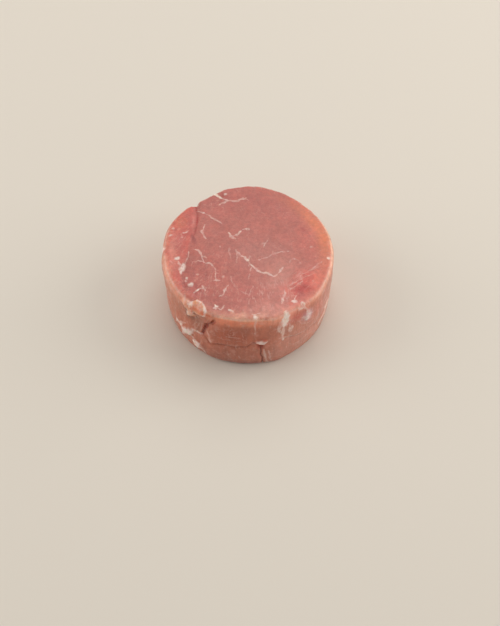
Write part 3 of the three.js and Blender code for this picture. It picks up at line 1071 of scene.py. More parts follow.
@dataclass(frozen=True)
class Complexion:
    """The colours of the lean: of each muscle, of the wall and of their patches, with painted highlights,
    sheen, glow and shade among them.
    """

    main: Colour = (190, 108, 98)
    side: Colour = (205, 102, 91)
    wall: Colour = (199, 119, 95)
    # painted glow of light shining through the thin edge of the cut face at the right
    rim_glow: Colour = (234, 140, 95)
    pale_rim: Colour = (236, 164, 140)
    rosy_rim: Colour = (252, 172, 154)
    # painted highlight along the corner of the rim
    edge: Colour = (226, 178, 164)
    # painted highlight over the front of the cut face, along the rim
    front_edge_highlight: Colour = (236, 186, 160)
    # painted glow of light through the wall just under the front rim
    band: Colour = (244, 150, 116)
    # painted shade in the pit under the nub
    pit: Colour = (172, 30, 4)
    # painted shade laid into the clefts
    split: Colour = (128, 58, 42)
    seam_red: Colour = (180, 56, 52)
    flap: Colour = (236, 162, 124)
    flap_deep: Colour = (214, 106, 62)
    # painted shadow cast below the flap
    hollow: Colour = (152, 98, 80)
    # painted shade in the gap beside the flap
    gap: Colour = (146, 44, 16)
    # painted highlight lines along the rim, at the front and at the sides
    rim_highlight: Colour = (252, 208, 178)
    maroon: Colour = (160, 78, 74)
    maroon_share: float = 0.9
    edge_size: float = 1.6
    blotch_size: float = 7.0
    speckle_size: float = 1.1
    patches_shift: float = 1.2
    side_fades_over: float = 1.5
    rim_glow_at: Arc = Arc(20, 32, 0.8)
    front_edge_highlight_at: Arc = Arc(266, 27)
    band_glow_at: Arc = Arc(268, 27, 0.9)
    front_rim_highlight_at: Arc = Arc(272, 24)
    side_rim_highlight_at: tuple[Arc, ...] = (Arc(2, 36), Arc(190, 34, 0.4), Arc(324, 16, 0.5))
    wall_starts: Point = (0.3, 1.6)
    shade_to: float = 12.0  # millimetres down over the rim
    under_flap_shadow_share: float = 0.75
    flap_share: float = 0.9
    flap_deep_share: float = 0.95
    gap_shade_share: float = 0.85
    rim_streaks: tuple[RimStreak, ...] = (
        RimStreak("left, below the rim", pale_rim, 204, 24, 2.8, 2.3, 0.7, 0.25),
        RimStreak("left, on the face", pale_rim, 192, 30, -1.0, 2.0, 0.42, face_only=True),
        RimStreak("right", pale_rim, 328, 22, 1.6, 1.7, 0.75),
        RimStreak("front", pale_rim, 285, 9, 2.2, 1.5, 0.5),
        RimStreak("front right, rosy", rosy_rim, 308, 13, 0.0, 2.0, 0.65),
    )
    main_patches: tuple[Tint, ...] = (
        Tint("back", (2, 30), (26, 8), 0, 0.7, colour=(185, 101, 93)),
        Tint("cool middle", (6, 0), (14, 10), 0, 0.5, colour=(190, 128, 120)),
        # painted sheen, lighter over the front right of the cut face
        Tint("light front right", (14, -14), (8, 11), -20, 0.7, colour=(214, 148, 136)),
        Tint("left, browner", (-18, -11), (8, 10), 0, 0.6, colour=(187, 101, 90)),
        Tint("front left, red", (-24, -20), (6, 5), -35, 0.55, colour=(190, 94, 86)),
        Tint("front, lilac", (4, -23), (8, 6), 0, 0.55, colour=(190, 108, 101)),
    )
    face_patches: tuple[Tint, ...] = (
        Tint("side, orange", (-30.7, 17.0), (3, 5), -30, 0.6, colour=(214, 116, 86)),
        Tint("side, red", (-26.0, 17), (1.6, 6), 5, 0.6, colour=(192, 92, 86)),
        Tint("side, dark ring", (-32.8, 13.3), (1.3, 1.2), 0, 0.7, colour=(184, 84, 78)),
        Tint("side, mauve", (-30.0, 6.5), (2.4, 3.0), 0, 0.5, colour=(196, 116, 112)),
        Tint("seam, dark spot", (-23.9, 7.4), (0.7, 2.6), 8, 0.75, colour=(140, 56, 60)),
        Tint("side, pale streak", (-24.4, 17.5), (0.6, 4.0), 6, 0.5, colour=(226, 150, 144)),
        Tint("side, peach", (-33.2, -0.5), (2.8, 10), 0, 0.55, colour=(224, 150, 134)),
        Tint("right, rosy", (26, 8), (6, 10), 0, 0.6, colour=(206, 112, 100)),
        Tint("right, dark ring", (24.7, 12.4), (1.2, 1.1), 0, 0.6, colour=(172, 74, 70)),
        # painted sheen over the front and the front right of the cut face
        Tint("front, pale", (13, -30), (12, 3.6), 10, 0.75, colour=(220, 152, 140)),
        Tint("front right, pale", (16, -23.5), (4, 4), 0, 0.5, colour=(216, 142, 132)),
        Tint("front right, sheen", (14.8, -29.2), (3.4, 1.8), 22, 0.55, colour=(228, 160, 148)),
        Tint("red, broad", (24.5, -17.5), (9, 5.0), 42, 0.9, colour=(216, 104, 94)),
        Tint("red, front", (18.8, -26.8), (6, 2.6), 24, 0.65, colour=(204, 108, 100)),
        Tint("red, deep", (24.2, -19.4), (3.8, 1.5), 36, 1.0, colour=(182, 50, 50)),
        Tint("red, second", (27.5, -14.0), (3.5, 0.8), 40, 0.5, colour=(200, 86, 80)),
        Tint("red, to the rim", (30.6, -13.5), (8, 2.4), 55, 0.7, colour=(228, 128, 110)),
    )
    mottled: Spot = Spot("mottled", (-19, -14), (12, 13), -30, 0.8)
    fanned: tuple[Spot, ...] = (
        Spot("strands, front", (4, -25), (10, 8), 0, 1.0),
        Spot("strands, front left", (-16, -19), (9, 9), 0, 0.6),
        Spot("strands, front right", (16, -21), (6, 7), 0, 0.9),
        Spot("strands, left", (-15, -4), (9, 7), 0, 0.4),
        Spot("strands, side", (-29, 8), (4, 14), 0, 0.5),
    )
    torn: Spot = Spot("strands, torn", (25, -14), (9, 5), 42, 1.0)
    wall_patches: tuple[Tint, ...] = (
        Tint("front panel", (259, 19.5), (11, 6.5), 0, 0.8, colour=(178, 93, 69)),
        Tint("front, low", (258, 6.0), (13, 5.5), 0, 0.75, colour=(177, 110, 92)),
        # painted contact shade along the front foot
        Tint("front foot, dark", (266, 1.5), (16, 2.0), 0, 0.6, colour=(150, 92, 86)),
        Tint("front right, low", (290, 7.0), (8, 6.0), 0, 0.75, colour=(198, 132, 116)),
        Tint("right, light", (312, 10.0), (14, 10), 0, 0.8, colour=(211, 152, 138)),
        Tint("right, red upper", (328, 20.0), (8, 7), 0, 0.7, colour=(202, 116, 106)),
        # painted shade in the hole beside the nub
        Tint("dark beside the nub", (274.4, 15.2), (1.2, 0.7), 0, 0.75, colour=(134, 60, 44)),
        Tint("right, reddish", (303.0, 25.0), (4.8, 3.4), 0, 0.85, colour=(212, 101, 92)),
        Tint("strip, pale ground", (295.0, 26.4), (2.4, 3.8), 0, 0.6, colour=(250, 190, 178)),
        Tint("lilac film", (311.4, 21.6), (2.4, 2.8), 0, 0.95, colour=(212, 182, 200)),
        Tint("left, reddish", (212, 19), (9, 7), 0, 0.7, colour=(187, 105, 78)),
        # painted shade in the hollow under the flap
        Tint("hollow", (236, 19.0), (5, 5), 0, 0.85, colour=(166, 108, 90)),
        Tint("back, rosy", (70, 12), (26, 9), 0, 0.7, colour=(204, 134, 118)),
        Tint("back, browner", (140, 20), (16, 9), 0, 0.7, colour=(182, 112, 94)),
        Tint("right, pale", (10, 10), (20, 9), 0, 0.7, colour=(208, 146, 128)),
        Tint("left, pale", (176, 9), (16, 8), 0, 0.6, colour=(204, 140, 122)),
    )


# ---- Materials ----


def linear(colour: Colour) -> tuple[float, float, float, float]:
    """Turns a screen colour into light.

    Args:
        colour: Red, green and blue, 0 to 255.

    Returns:
        Red, green and blue light, 0 to 1, and full cover.
    """
    parts = [c / 255.0 for c in colour]
    light = [p / 12.92 if p <= 0.04045 else ((p + 0.055) / 1.055) ** 2.4 for p in parts]
    return light[0], light[1], light[2], 1.0


class Bench:
    """Lays out and joins the nodes of one material."""

    def __init__(self, name: str) -> None:
        """Makes an empty material.

        Args:
            name: The material's name.
        """
        self.material = bpy.data.materials.new(name)
        self.material.use_nodes = True
        self.tree = self.material.node_tree
        self.surface = self.tree.nodes["Principled BSDF"]

    def node(
        self, kind: str, inputs: dict[str | int, object] | None = None, **settings: object
    ) -> bpy.types.Node:
        """Adds a node.

        Args:
            kind: The node's type.
            inputs: Values or sockets for its inputs, by name or number.
            settings: Values for its properties.

        Returns:
            The new node.
        """
        node = self.tree.nodes.new(kind)
        for key, value in settings.items():
            setattr(node, key, value)
        for key, value in (inputs or {}).items():
            if isinstance(value, Socket):
                self.tree.links.new(value, node.inputs[key])
            else:
                node.inputs[key].default_value = value
        return node

    def join(self, value: Socket, name: str) -> None:
        """Joins a value to one of the surface's sockets."""
        self.tree.links.new(value, self.surface.inputs[name])

    def mask(self, name: str) -> Socket:
        """Reads one of the mesh's own masks."""
        return self.node("ShaderNodeAttribute", attribute_name=name).outputs["Fac"]

    def tint(self, name: str) -> Socket:
        """Reads the mesh's own colour."""
        return self.node("ShaderNodeAttribute", attribute_name=name).outputs["Color"]

    def places(self) -> Socket:
        """Reads the object's own coordinates."""
        return self.node("ShaderNodeTexCoord").outputs["Object"]

    def warped(self, places: Socket, size: float, reach: float) -> Socket:
        """Shifts coordinates about, so that a pattern on them doesn't look drawn.

        Args:
            places: The coordinates.
            size: Size of one bend, in millimetres.
            reach: How far it may shift them, in millimetres.

        Returns:
            The shifted coordinates.
        """
        inputs = {"Vector": places, "Scale": 1.0 / (size * MM), "Detail": 2.0}
        noise = self.node("ShaderNodeTexNoise", inputs)
        inputs = {0: noise.outputs["Color"], 1: (reach * MM,) * 3, 2: places}
        return self.node("ShaderNodeVectorMath", inputs, operation="MULTIPLY_ADD").outputs[0]

    def stretched(self, places: Socket, scale: tuple[float, float, float]) -> Socket:
        """Scales coordinates along each axis."""
        return self.node("ShaderNodeMapping", {"Vector": places, "Scale": scale}).outputs["Vector"]

    def noise(self, places: Socket, size: float, detail: float = 3.0, warp: float = 0.0) -> Socket:
        """Adds noise.

        Args:
            places: Coordinates to read it at.
            size: Size of one blotch, in millimetres.
            detail: How many finer layers it has.
            warp: How much it is distorted.

        Returns:
            Noise from 0 to 1.
        """
        inputs = {"Vector": places, "Scale": 1.0 / (size * MM), "Detail": detail, "Distortion": warp}
        return self.node("ShaderNodeTexNoise", inputs).outputs[0]

    def cells(self, places: Socket, size: float, feature: str = "F1") -> bpy.types.Node:
        """Adds a pattern of packed cells.

        Args:
            places: Coordinates to read it at.
            size: Size of one cell, in millimetres.
            feature: What to measure in each cell.

        Returns:
            The pattern's node.
        """
        inputs = {"Vector": places, "Scale": 1.0 / (size * MM)}
        return self.node("ShaderNodeTexVoronoi", inputs, feature=feature)

    def math(self, operation: str, first: object, second: object = 0.0) -> Socket:
        """Does a sum on two values."""
        return self.node("ShaderNodeMath", {0: first, 1: second}, operation=operation).outputs[0]

    def times(self, first: Socket, *others: object) -> Socket:
        """Multiplies values, from first to last.

        Args:
            first: The first value.
            others: Sockets or numbers to multiply it by.

        Returns:
            The product.
        """
        for other in others:
            first = self.math("MULTIPLY", first, other)
        return first

    def ramp(
        self, value: Socket, low: float, high: float, to_low: float = 0.0, to_high: float = 1.0
    ) -> Socket:
        """Maps a value smoothly from one range to another.

        Args:
            value: What to map.
            low: The value that gives to_low.
            high: The value that gives to_high.
            to_low: Result at or below low.
            to_high: Result at or above high.

        Returns:
            The mapped value.
        """
        inputs = {"Value": value, 1: low, 2: high, 3: to_low, 4: to_high}
        node = self.node("ShaderNodeMapRange", inputs, interpolation_type="SMOOTHSTEP")
        return node.outputs["Result"]

    def mix(self, share: object, first: object, second: object) -> Socket:
        """Mixes two colours.

        Args:
            share: 0 for the first and 1 for the second.
            first: A socket or a screen colour.
            second: A socket or a screen colour.

        Returns:
            The mixed colour.
        """
        colours = [c if isinstance(c, Socket) else linear(c) for c in (first, second)]
        node = self.node("ShaderNodeMix", {0: share, 6: colours[0], 7: colours[1]}, data_type="RGBA")
        return node.outputs[2]

    def toned(self, colour: Socket, tone: Socket) -> Socket:
        """Makes a colour lighter or darker by a factor."""
        return self.node("ShaderNodeVectorMath", {0: colour, 3: tone}, operation="SCALE").outputs[0]

    def bump(self, height: Socket, depth: float, below: Socket | None = None) -> Socket:
        """Adds fine relief to the shading.

        Args:
            height: The relief, from 0 to 1.
            depth: How deep it is, in millimetres.
            below: Coarser relief that it lies on.

        Returns:
            The bent normal.
        """
        inputs: dict[str | int, object] = {"Height": height, "Distance": depth * MM, "Strength": 1.0}
        if below is not None:
            inputs["Normal"] = below
        return self.node("ShaderNodeBump", inputs).outputs["Normal"]


@dataclass(frozen=True)
class RawVeal:
    """The finish of moist raw veal, lean and fat."""

    fat: Colour = (244, 226, 218)
    fat_shade: Colour = (228, 184, 172)
    lines: Colour = (222, 164, 152)
    fibre: float = 1.15
    fibre_run: float = 0.12
    line_width: float = 0.12
    line_share: float = 0.12
    hairline_cell: float = 5.0
    hairline_width: float = 0.018
    hairline_share: float = 0.3
    fan_from: tuple[float, float, float] = (4.0, 42.0, 0.0)
    strand_across: float = 1.5
    strand_run: float = 9.0
    strand_width: float = 0.05
    strand_share: float = 0.6
    film_size: float = 2.4
    film_share: float = 0.28
    fleck_share: float = 0.2
    torn_turn: float = 42.0
    grain: float = 0.4
    grain_depth: float = 0.02
    fibre_depth: float = 0.05
    ripple_depth: float = 0.12
    translucent: float = 0.5
    translucent_reach: float = 3.5
    wet: float = 0.35
    wet_roughness: float = 0.2
    ripple_tone: Span = (0.25, 0.75, 0.93, 1.07)
    bundle_tone: Span = (0.2, 0.8, 0.97, 1.03)
    broad_tone: Span = (0.3, 0.7, 0.94, 1.06)
    blotch_tone: Span = (0.3, 0.7, 0.95, 1.05)
    satin: Span = (0.3, 0.7, 0.34, 0.5)
    shade_of_white: Span = (0.6, 1.0, 1.0, 0.2)
    fat_edge: Point = (0.22, 0.8)
    fat_ragged: float = 0.24

    def strands(self, bench: Bench, across: Socket, along: Socket) -> Socket:
        """Draws thin wavy strands that break off here and there.

        Args:
            bench: The bench that the material is made on.
            across: Distance across the fibres, in metres.
            along: Distance along them, in metres.

        Returns:
            1 in a strand and 0 beside it.
        """
        inputs = {
            0: bench.math("DIVIDE", across, self.strand_across * MM),
            1: bench.math("DIVIDE", along, self.strand_run * MM),
        }
        places = bench.node("ShaderNodeCombineXYZ", inputs).outputs[0]
        inputs = {"Vector": places, "Scale": 1.0, "Detail": 2.5, "Distortion": 0.5}
        noise = bench.node("ShaderNodeTexNoise", inputs).outputs[0]
        near = bench.math("ABSOLUTE", bench.math("SUBTRACT", noise, 0.5))
        broken = bench.ramp(bench.noise(bench.places(), 2.6, 2.0), 0.4, 0.58)
        return bench.times(bench.ramp(near, 0.0, self.strand_width, 1.0, 0.0), broken)

    def fanned_strands(self, bench: Bench) -> Socket:
        """Draws strands that fan out towards the front.

        Args:
            bench: The bench that the material is made on.

        Returns:
            1 in a strand and 0 beside it.
        """
        inputs = {0: bench.places(), 1: tuple(c * MM for c in self.fan_from)}
        away = bench.node("ShaderNodeVectorMath", inputs, operation="SUBTRACT").outputs[0]
        x, y, _ = bench.node("ShaderNodeSeparateXYZ", {0: away}).outputs
        squares = bench.math("ADD", bench.math("POWER", x, 2.0), bench.math("POWER", y, 2.0))
        turn = bench.math("ARCTAN2", x, bench.times(y, -1.0))
        return self.strands(bench, bench.times(turn, self.fan_from[1] * MM), bench.math("SQRT", squares))

    def torn_strands(self, bench: Bench) -> Socket:
        """Draws strands that run slantwise, as in torn fibre.

        Args:
            bench: The bench that the material is made on.

        Returns:
            1 in a strand and 0 beside it.
        """
        turn = math.radians(-self.torn_turn)
        inputs = {"Vector": bench.places(), "Rotation": (0.0, 0.0, turn)}
        turned = bench.node("ShaderNodeMapping", inputs).outputs[0]
        x, y, _ = bench.node("ShaderNodeSeparateXYZ", {0: turned}).outputs
        return self.strands(bench, y, x)

    def lean(self, bench: Bench, fibres: Socket, ripple: Socket, lines: Socket) -> Socket:
        """Colours the lean, with its fibre, the film on the wall and fine pale strands.

        Args:
            bench: The bench that the material is made on.
            fibres: Coordinates drawn out along the fibres.
            ripple: Noise along the fibres.
            lines: 1 between bundles of fibre and 0 inside them.

        Returns:
            The colour.
        """
        here = bench.places()
        bundle = bench.cells(fibres, self.fibre).outputs["Color"]
        tone = bench.times(
            bench.ramp(ripple, *self.ripple_tone),
            bench.ramp(bundle, *self.bundle_tone),
            bench.ramp(bench.noise(here, 8.0, 3.0), *self.broad_tone),
            bench.ramp(bench.noise(here, 1.4, 3.0, 0.4), *self.blotch_tone),
        )
        lean = bench.toned(bench.tint("tint"), tone)
        broken = bench.ramp(bench.noise(here, 3.0, 2.0), 0.4, 0.6)
        line_share = bench.times(bench.mask("cut"), self.line_share)
        lean = bench.mix(bench.times(lines, broken, line_share), lean, self.lines)

        warped = bench.warped(here, 2.5, 3.0)
        web = bench.cells(warped, self.hairline_cell, "DISTANCE_TO_EDGE").outputs["Distance"]
        hairline = bench.ramp(web, 0.0, self.hairline_width, 1.0, 0.0)
        sparse = bench.ramp(bench.noise(here, 6.0, 2.0), 0.5, 0.62, 0.0, self.hairline_share)
        lean = bench.mix(bench.times(hairline, sparse), lean, self.fat_shade)

        outside = bench.math("SUBTRACT", 1.0, bench.mask("cut"))
        film = bench.ramp(bench.noise(here, self.film_size, 5.0, 0.6), 0.5, 0.72, 0.0, self.film_share)
        lean = bench.mix(bench.times(film, outside), lean, self.fat_shade)
        flecks = bench.noise(bench.stretched(bench.warped(here, 2.0, 1.0), (1.0, 1.0, 0.3)), 0.8, 3.0)
        flecks = bench.ramp(flecks, 0.58, 0.7, 0.0, self.fleck_share)
        somewhere = bench.ramp(bench.noise(here, 4.5, 2.0), 0.45, 0.6)
        lean = bench.mix(bench.times(flecks, somewhere, outside), lean, self.fat)

        fanned = bench.times(self.fanned_strands(bench), bench.mask("fanned"))
        torn = bench.times(self.torn_strands(bench), bench.mask("torn"))
        strands = bench.times(bench.math("MAXIMUM", fanned, torn), self.strand_share)
        return bench.mix(strands, lean, self.fat_shade)

    def with_fat(self, bench: Bench, lean: Socket) -> Socket:
        """Lays the fat over the lean, where the skin's masks say.

        Args:
            bench: The bench that the material is made on.
            lean: Colour of the lean.

        Returns:
            The colour of both.
        """
        here = bench.places()
        shaded = bench.ramp(bench.noise(here, 0.9, 3.0), 0.35, 0.7)
        shaded = bench.times(shaded, bench.ramp(bench.mask("white"), *self.shade_of_white))
        fat = bench.mix(shaded, self.fat, self.fat_shade)
        ragged = bench.math("MULTIPLY_ADD", bench.noise(here, 0.5, 3.0), self.fat_ragged)
        ragged.node.inputs[2].default_value = -self.fat_ragged / 2
        depth = bench.math("ADD", bench.mask("fat"), ragged)
        share = bench.times(bench.ramp(depth, *self.fat_edge), bench.mask("white"))
        share.node.use_clamp = True
        return bench.mix(share, lean, fat)

    def build(self) -> bpy.types.Material:
        """Makes the material.

        Returns:
            The material, which reads the colour and masks that the skin carries.
        """
        bench = Bench("raw_veal_moist")
        here = bench.places()
        fibres = bench.stretched(bench.warped(here, 3.5, 0.9), (1.0, 1.0, self.fibre_run))
        ripple = bench.noise(fibres, 2.0, 4.0, 0.4)
        edge = bench.cells(fibres, self.fibre, "DISTANCE_TO_EDGE").outputs["Distance"]
        lines = bench.ramp(edge, 0.0, self.line_width, 1.0, 0.0)
        bench.join(self.with_fat(bench, self.lean(bench, fibres, ripple, lines)), "Base Color")
        bench.join(bench.ramp(bench.noise(here, 4.0, 3.0, 0.3), *self.satin), "Roughness")
        relief = bench.bump(ripple, self.ripple_depth)
        relief = bench.bump(lines, -self.fibre_depth, relief)
        bench.join(bench.bump(bench.noise(here, self.grain, 2.0), self.grain_depth, relief), "Normal")
        settings = {
            "Subsurface Weight": self.translucent,
            "Subsurface Radius": (1.0, 0.35, 0.22),
            "Subsurface Scale": self.translucent_reach * MM,
            "Coat Weight": self.wet,
            "Coat Roughness": self.wet_roughness,
            "IOR": 1.4,
        }
        for name, value in settings.items():
            bench.surface.inputs[name].default_value = value
        return bench.material


@dataclass(frozen=True)
class PlainFloor:
    """The finish of the studio floor."""

    colour: Colour = (226, 220, 210)
    roughness: float = 0.75

    def build(self) -> bpy.types.Material:
        """Makes the material.

        Returns:
            The plain material.
        """
        bench = Bench("plain_floor")
        bench.surface.inputs["Base Color"].default_value = linear(self.colour)
        bench.surface.inputs["Roughness"].default_value = self.roughness
        return bench.material


# ---- The medallion ----


class Zone(Enum):
    """The stretches of the plain drum that the skin is shaped from, in order along its profile."""

    FACE = 0
    RIM = 1
    WALL = 2
    FOOT = 3
    BASE = 4


@dataclass(frozen=True)
class Skin:
    """Points of the medallion's skin."""

    places: Array
    angle: Array
    down: Array
    zone: Array

    def where(self, *zones: Zone) -> Array:
        """Gives 1 for the points in some stretches of the profile and 0 for others."""
        return np.isin(self.zone, [zone.value for zone in zones]).astype(float)


class Painter:
    """Lays the colours of the lean over the skin, from the cut face down to the clefts, with painted
    highlights, sheen, glow and shade among them.
    """

    def __init__(self, meat: "VealMedallion", skin: Skin) -> None:
        """Measures what the colours go by, and lays the ground colour.

        Args:
            meat: The medallion.
            skin: Points of its skin.
        """
        self.look, self.wall, self.face, self.flap = meat.complexion, meat.wall, meat.face, meat.flap
        self.skin = skin
        self.part = skin.places - meat.middle
        self.ragged = Grain(Seed.TINT_EDGES).layered(skin.places, self.look.edge_size, 3)
        self.blotch = Grain(Seed.TINT_BLOTCHES).layered(skin.places, self.look.blotch_size, 3)
        self.on_face = skin.where(Zone.FACE, Zone.RIM)
        self.on_wall = skin.where(Zone.RIM, Zone.WALL, Zone.FOOT)
        self.angle, self.height = self.wall.wandered(skin.angle, skin.places[:, 2])
        self.light = np.tile(linear(self.look.main)[:3], (len(skin.places), 1))

    def lay(self, over: Colour, share: Array) -> None:
        """Lays a colour over what is there."""
        self.light = blend(self.light, np.array(linear(over)[:3]), np.clip(share, 0.0, 1.0)[:, None])

    def around(self, arc: Arc) -> Array:
        """Gives 1 at an arc's angle, falling smoothly to 0 past its spread."""
        return bell(turn_to(arc.at, self.skin.angle), arc.spread)

    def paint(self) -> Array:
        """Lays all the colours, in order.

        Returns:
            Red, green and blue light for each point.
        """
        self.lay_muscles()
        self.lay_face_edge()
        self.lay_wall()
        self.lay_flap()
        self.lay_rim()
        self.lay_clefts()
        return self.light

    def lay_muscles(self) -> None:
        """Colours both muscles of the cut face, with painted sheen at the front right, and the seam between
        them.
        """
        look, plan = self.look, self.skin.places[:, :2].T
        x = self.part[:, 0] + look.patches_shift * self.blotch
        y = self.part[:, 1] - look.patches_shift * self.blotch
        for patch in look.main_patches:
            self.lay(patch.colour, patch.felt_on_face(x, y) * (1.0 + 0.3 * self.ragged))
        seam, _ = self.face.seam.nearest(*plan)
        self.lay(look.side, self.face.beside_seam(*plan) * ease(seam, 0.0, look.side_fades_over))
        for patch in look.face_patches:
            self.lay(patch.colour, patch.felt_on_face(x, y) * (1.0 + 0.4 * self.ragged))
        self.lay(look.seam_red, (0.65 + 0.5 * self.ragged) * self.face.seam_felt(*plan))
        speckle = Grain(Seed.TINT_SPECKLES).layered(self.skin.places, look.speckle_size, 2)
        mottled = look.mottled.felt_on_face(x, y) * self.on_face
        self.lay(look.maroon, look.maroon_share * mottled * np.clip(speckle, 0.0, 1.0))

    def lay_face_edge(self) -> None:
        """Paints a glow of light through the edge of the cut face at the right, and a painted highlight over
        its front.
        """
        look, down, ragged = self.look, self.skin.down, self.ragged
        # painted glow of light through the rim at the right
        glow = self.around(look.rim_glow_at) * bell(down + 3.3, 3.4) * self.on_face
        self.lay(look.rim_glow, look.rim_glow_at.share * glow * (1.0 + 0.3 * self.blotch))
        # painted highlight along the front of the cut face
        front = self.around(look.front_edge_highlight_at) * (0.8 + 0.4 * ragged)
        inner, outer = ease(down + 0.8 * ragged, -6.0, -0.8), ease(down, -1.6, 0.2)
        self.lay(look.front_edge_highlight, front * (0.5 * inner + 0.35 * outer) * self.on_face)

    def lay_wall(self) -> None:
        """Colours the wall and its patches, some of them painted shade, and lays the painted glow of the band
        and the painted highlight line under the rim at the front.
        """
        look, down, ragged = self.look, self.skin.down, self.ragged
        self.lay(look.wall, ease(down + 0.35 * ragged, *look.wall_starts))
        for patch in look.wall_patches:
            felt = patch.felt(self.wall.along(patch.at[0], self.angle), self.height - patch.at[1])
            self.lay(patch.colour, felt * (1.0 + 0.4 * self.blotch) * ease(down, *look.wall_starts))
        # painted glow of light through the wall under the front rim
        band = ease(down + 0.3 * ragged, 0.2, 1.2) * (1.0 - ease(down + 0.8 * ragged, 2.4, 6.4))
        self.lay(look.band, look.band_glow_at.share * band * self.around(look.band_glow_at))
        # painted highlight line just under the front rim
        line = bell(down - 0.6 + 0.3 * ragged, 0.75)
        self.lay(look.rim_highlight, self.around(look.front_rim_highlight_at) * (0.75 + 0.5 * ragged) * line)

    def lay_flap(self) -> None:
        """Colours the loose flap with its deep band, and the shade below it."""
        look, flap, wall, ragged = self.look, self.flap, self.wall, self.ragged
        u, v = self.skin.angle + 0.9 * ragged, self.skin.down + 0.5 * ragged
        lobes = np.maximum(flap.lobe.inside(wall, u, v), flap.white_lobe.inside(wall, u, v))
        below = ease(self.skin.down, 3.2, 4.6) * (self.skin.down < look.shade_to)
        # painted shadow below the flap
        self.lay(look.hollow, look.under_flap_shadow_share * (ease(lobes, -2.6, -0.3) * below))
        self.lay(look.flap, look.flap_share * ease(lobes, -0.3, 0.3))
        deep, _ = wall.path_on_wall(flap.deep_band.points, u, v)
        deep = bell(deep, flap.deep_band.half_width * (1.0 + 0.7 * ragged))
        self.lay(look.flap_deep, look.flap_deep_share * deep)

    def lay_rim(self) -> None:
        """Lays the pale streaks along the rim, the painted highlight along its corner and the painted
        highlight lines at the sides.
        """
        look, down, ragged = self.look, self.skin.down, self.ragged
        for streak in look.rim_streaks:
            felt = streak.felt(self.skin.angle, down, ragged)
            self.lay(streak.colour, felt * self.on_face if streak.face_only else felt)
        # painted highlight along the corner of the rim, all round
        self.lay(look.edge, (0.5 + 0.35 * ragged) * bell(down - 0.2, 0.6))
        # painted highlight lines along the rim at the sides
        sides = np.max([arc.share * self.around(arc) for arc in look.side_rim_highlight_at], axis=0)
        self.lay(look.rim_highlight, (0.65 + 0.4 * ragged) * sides * bell(down - 0.4, 1.1))

    def lay_clefts(self) -> None:
        """Paints shade into the clefts, the pit under the nub and the gap beside the flap."""
        look, wall, ragged = self.look, self.wall, self.ragged
        # painted shade laid into each cleft, by its share
        for cleft in wall.clefts:
            felt = wall.cleft(cleft, self.angle, self.height)
            self.lay(look.split, cleft.dark * felt * self.on_wall)
        # painted shade in the pit under the nub
        pit = next(lump for lump in wall.lumps if lump.name == "pit under the nub")
        self.lay(look.pit, wall.lump(pit, self.angle, self.height) * self.on_wall)
        # painted shade in the gap beside the flap
        u, v = self.skin.angle + 0.6 * ragged, self.skin.down + 0.5 * ragged
        self.lay(look.gap, look.gap_shade_share * ease(self.flap.gap.inside(wall, u, v), -0.25, 0.45))


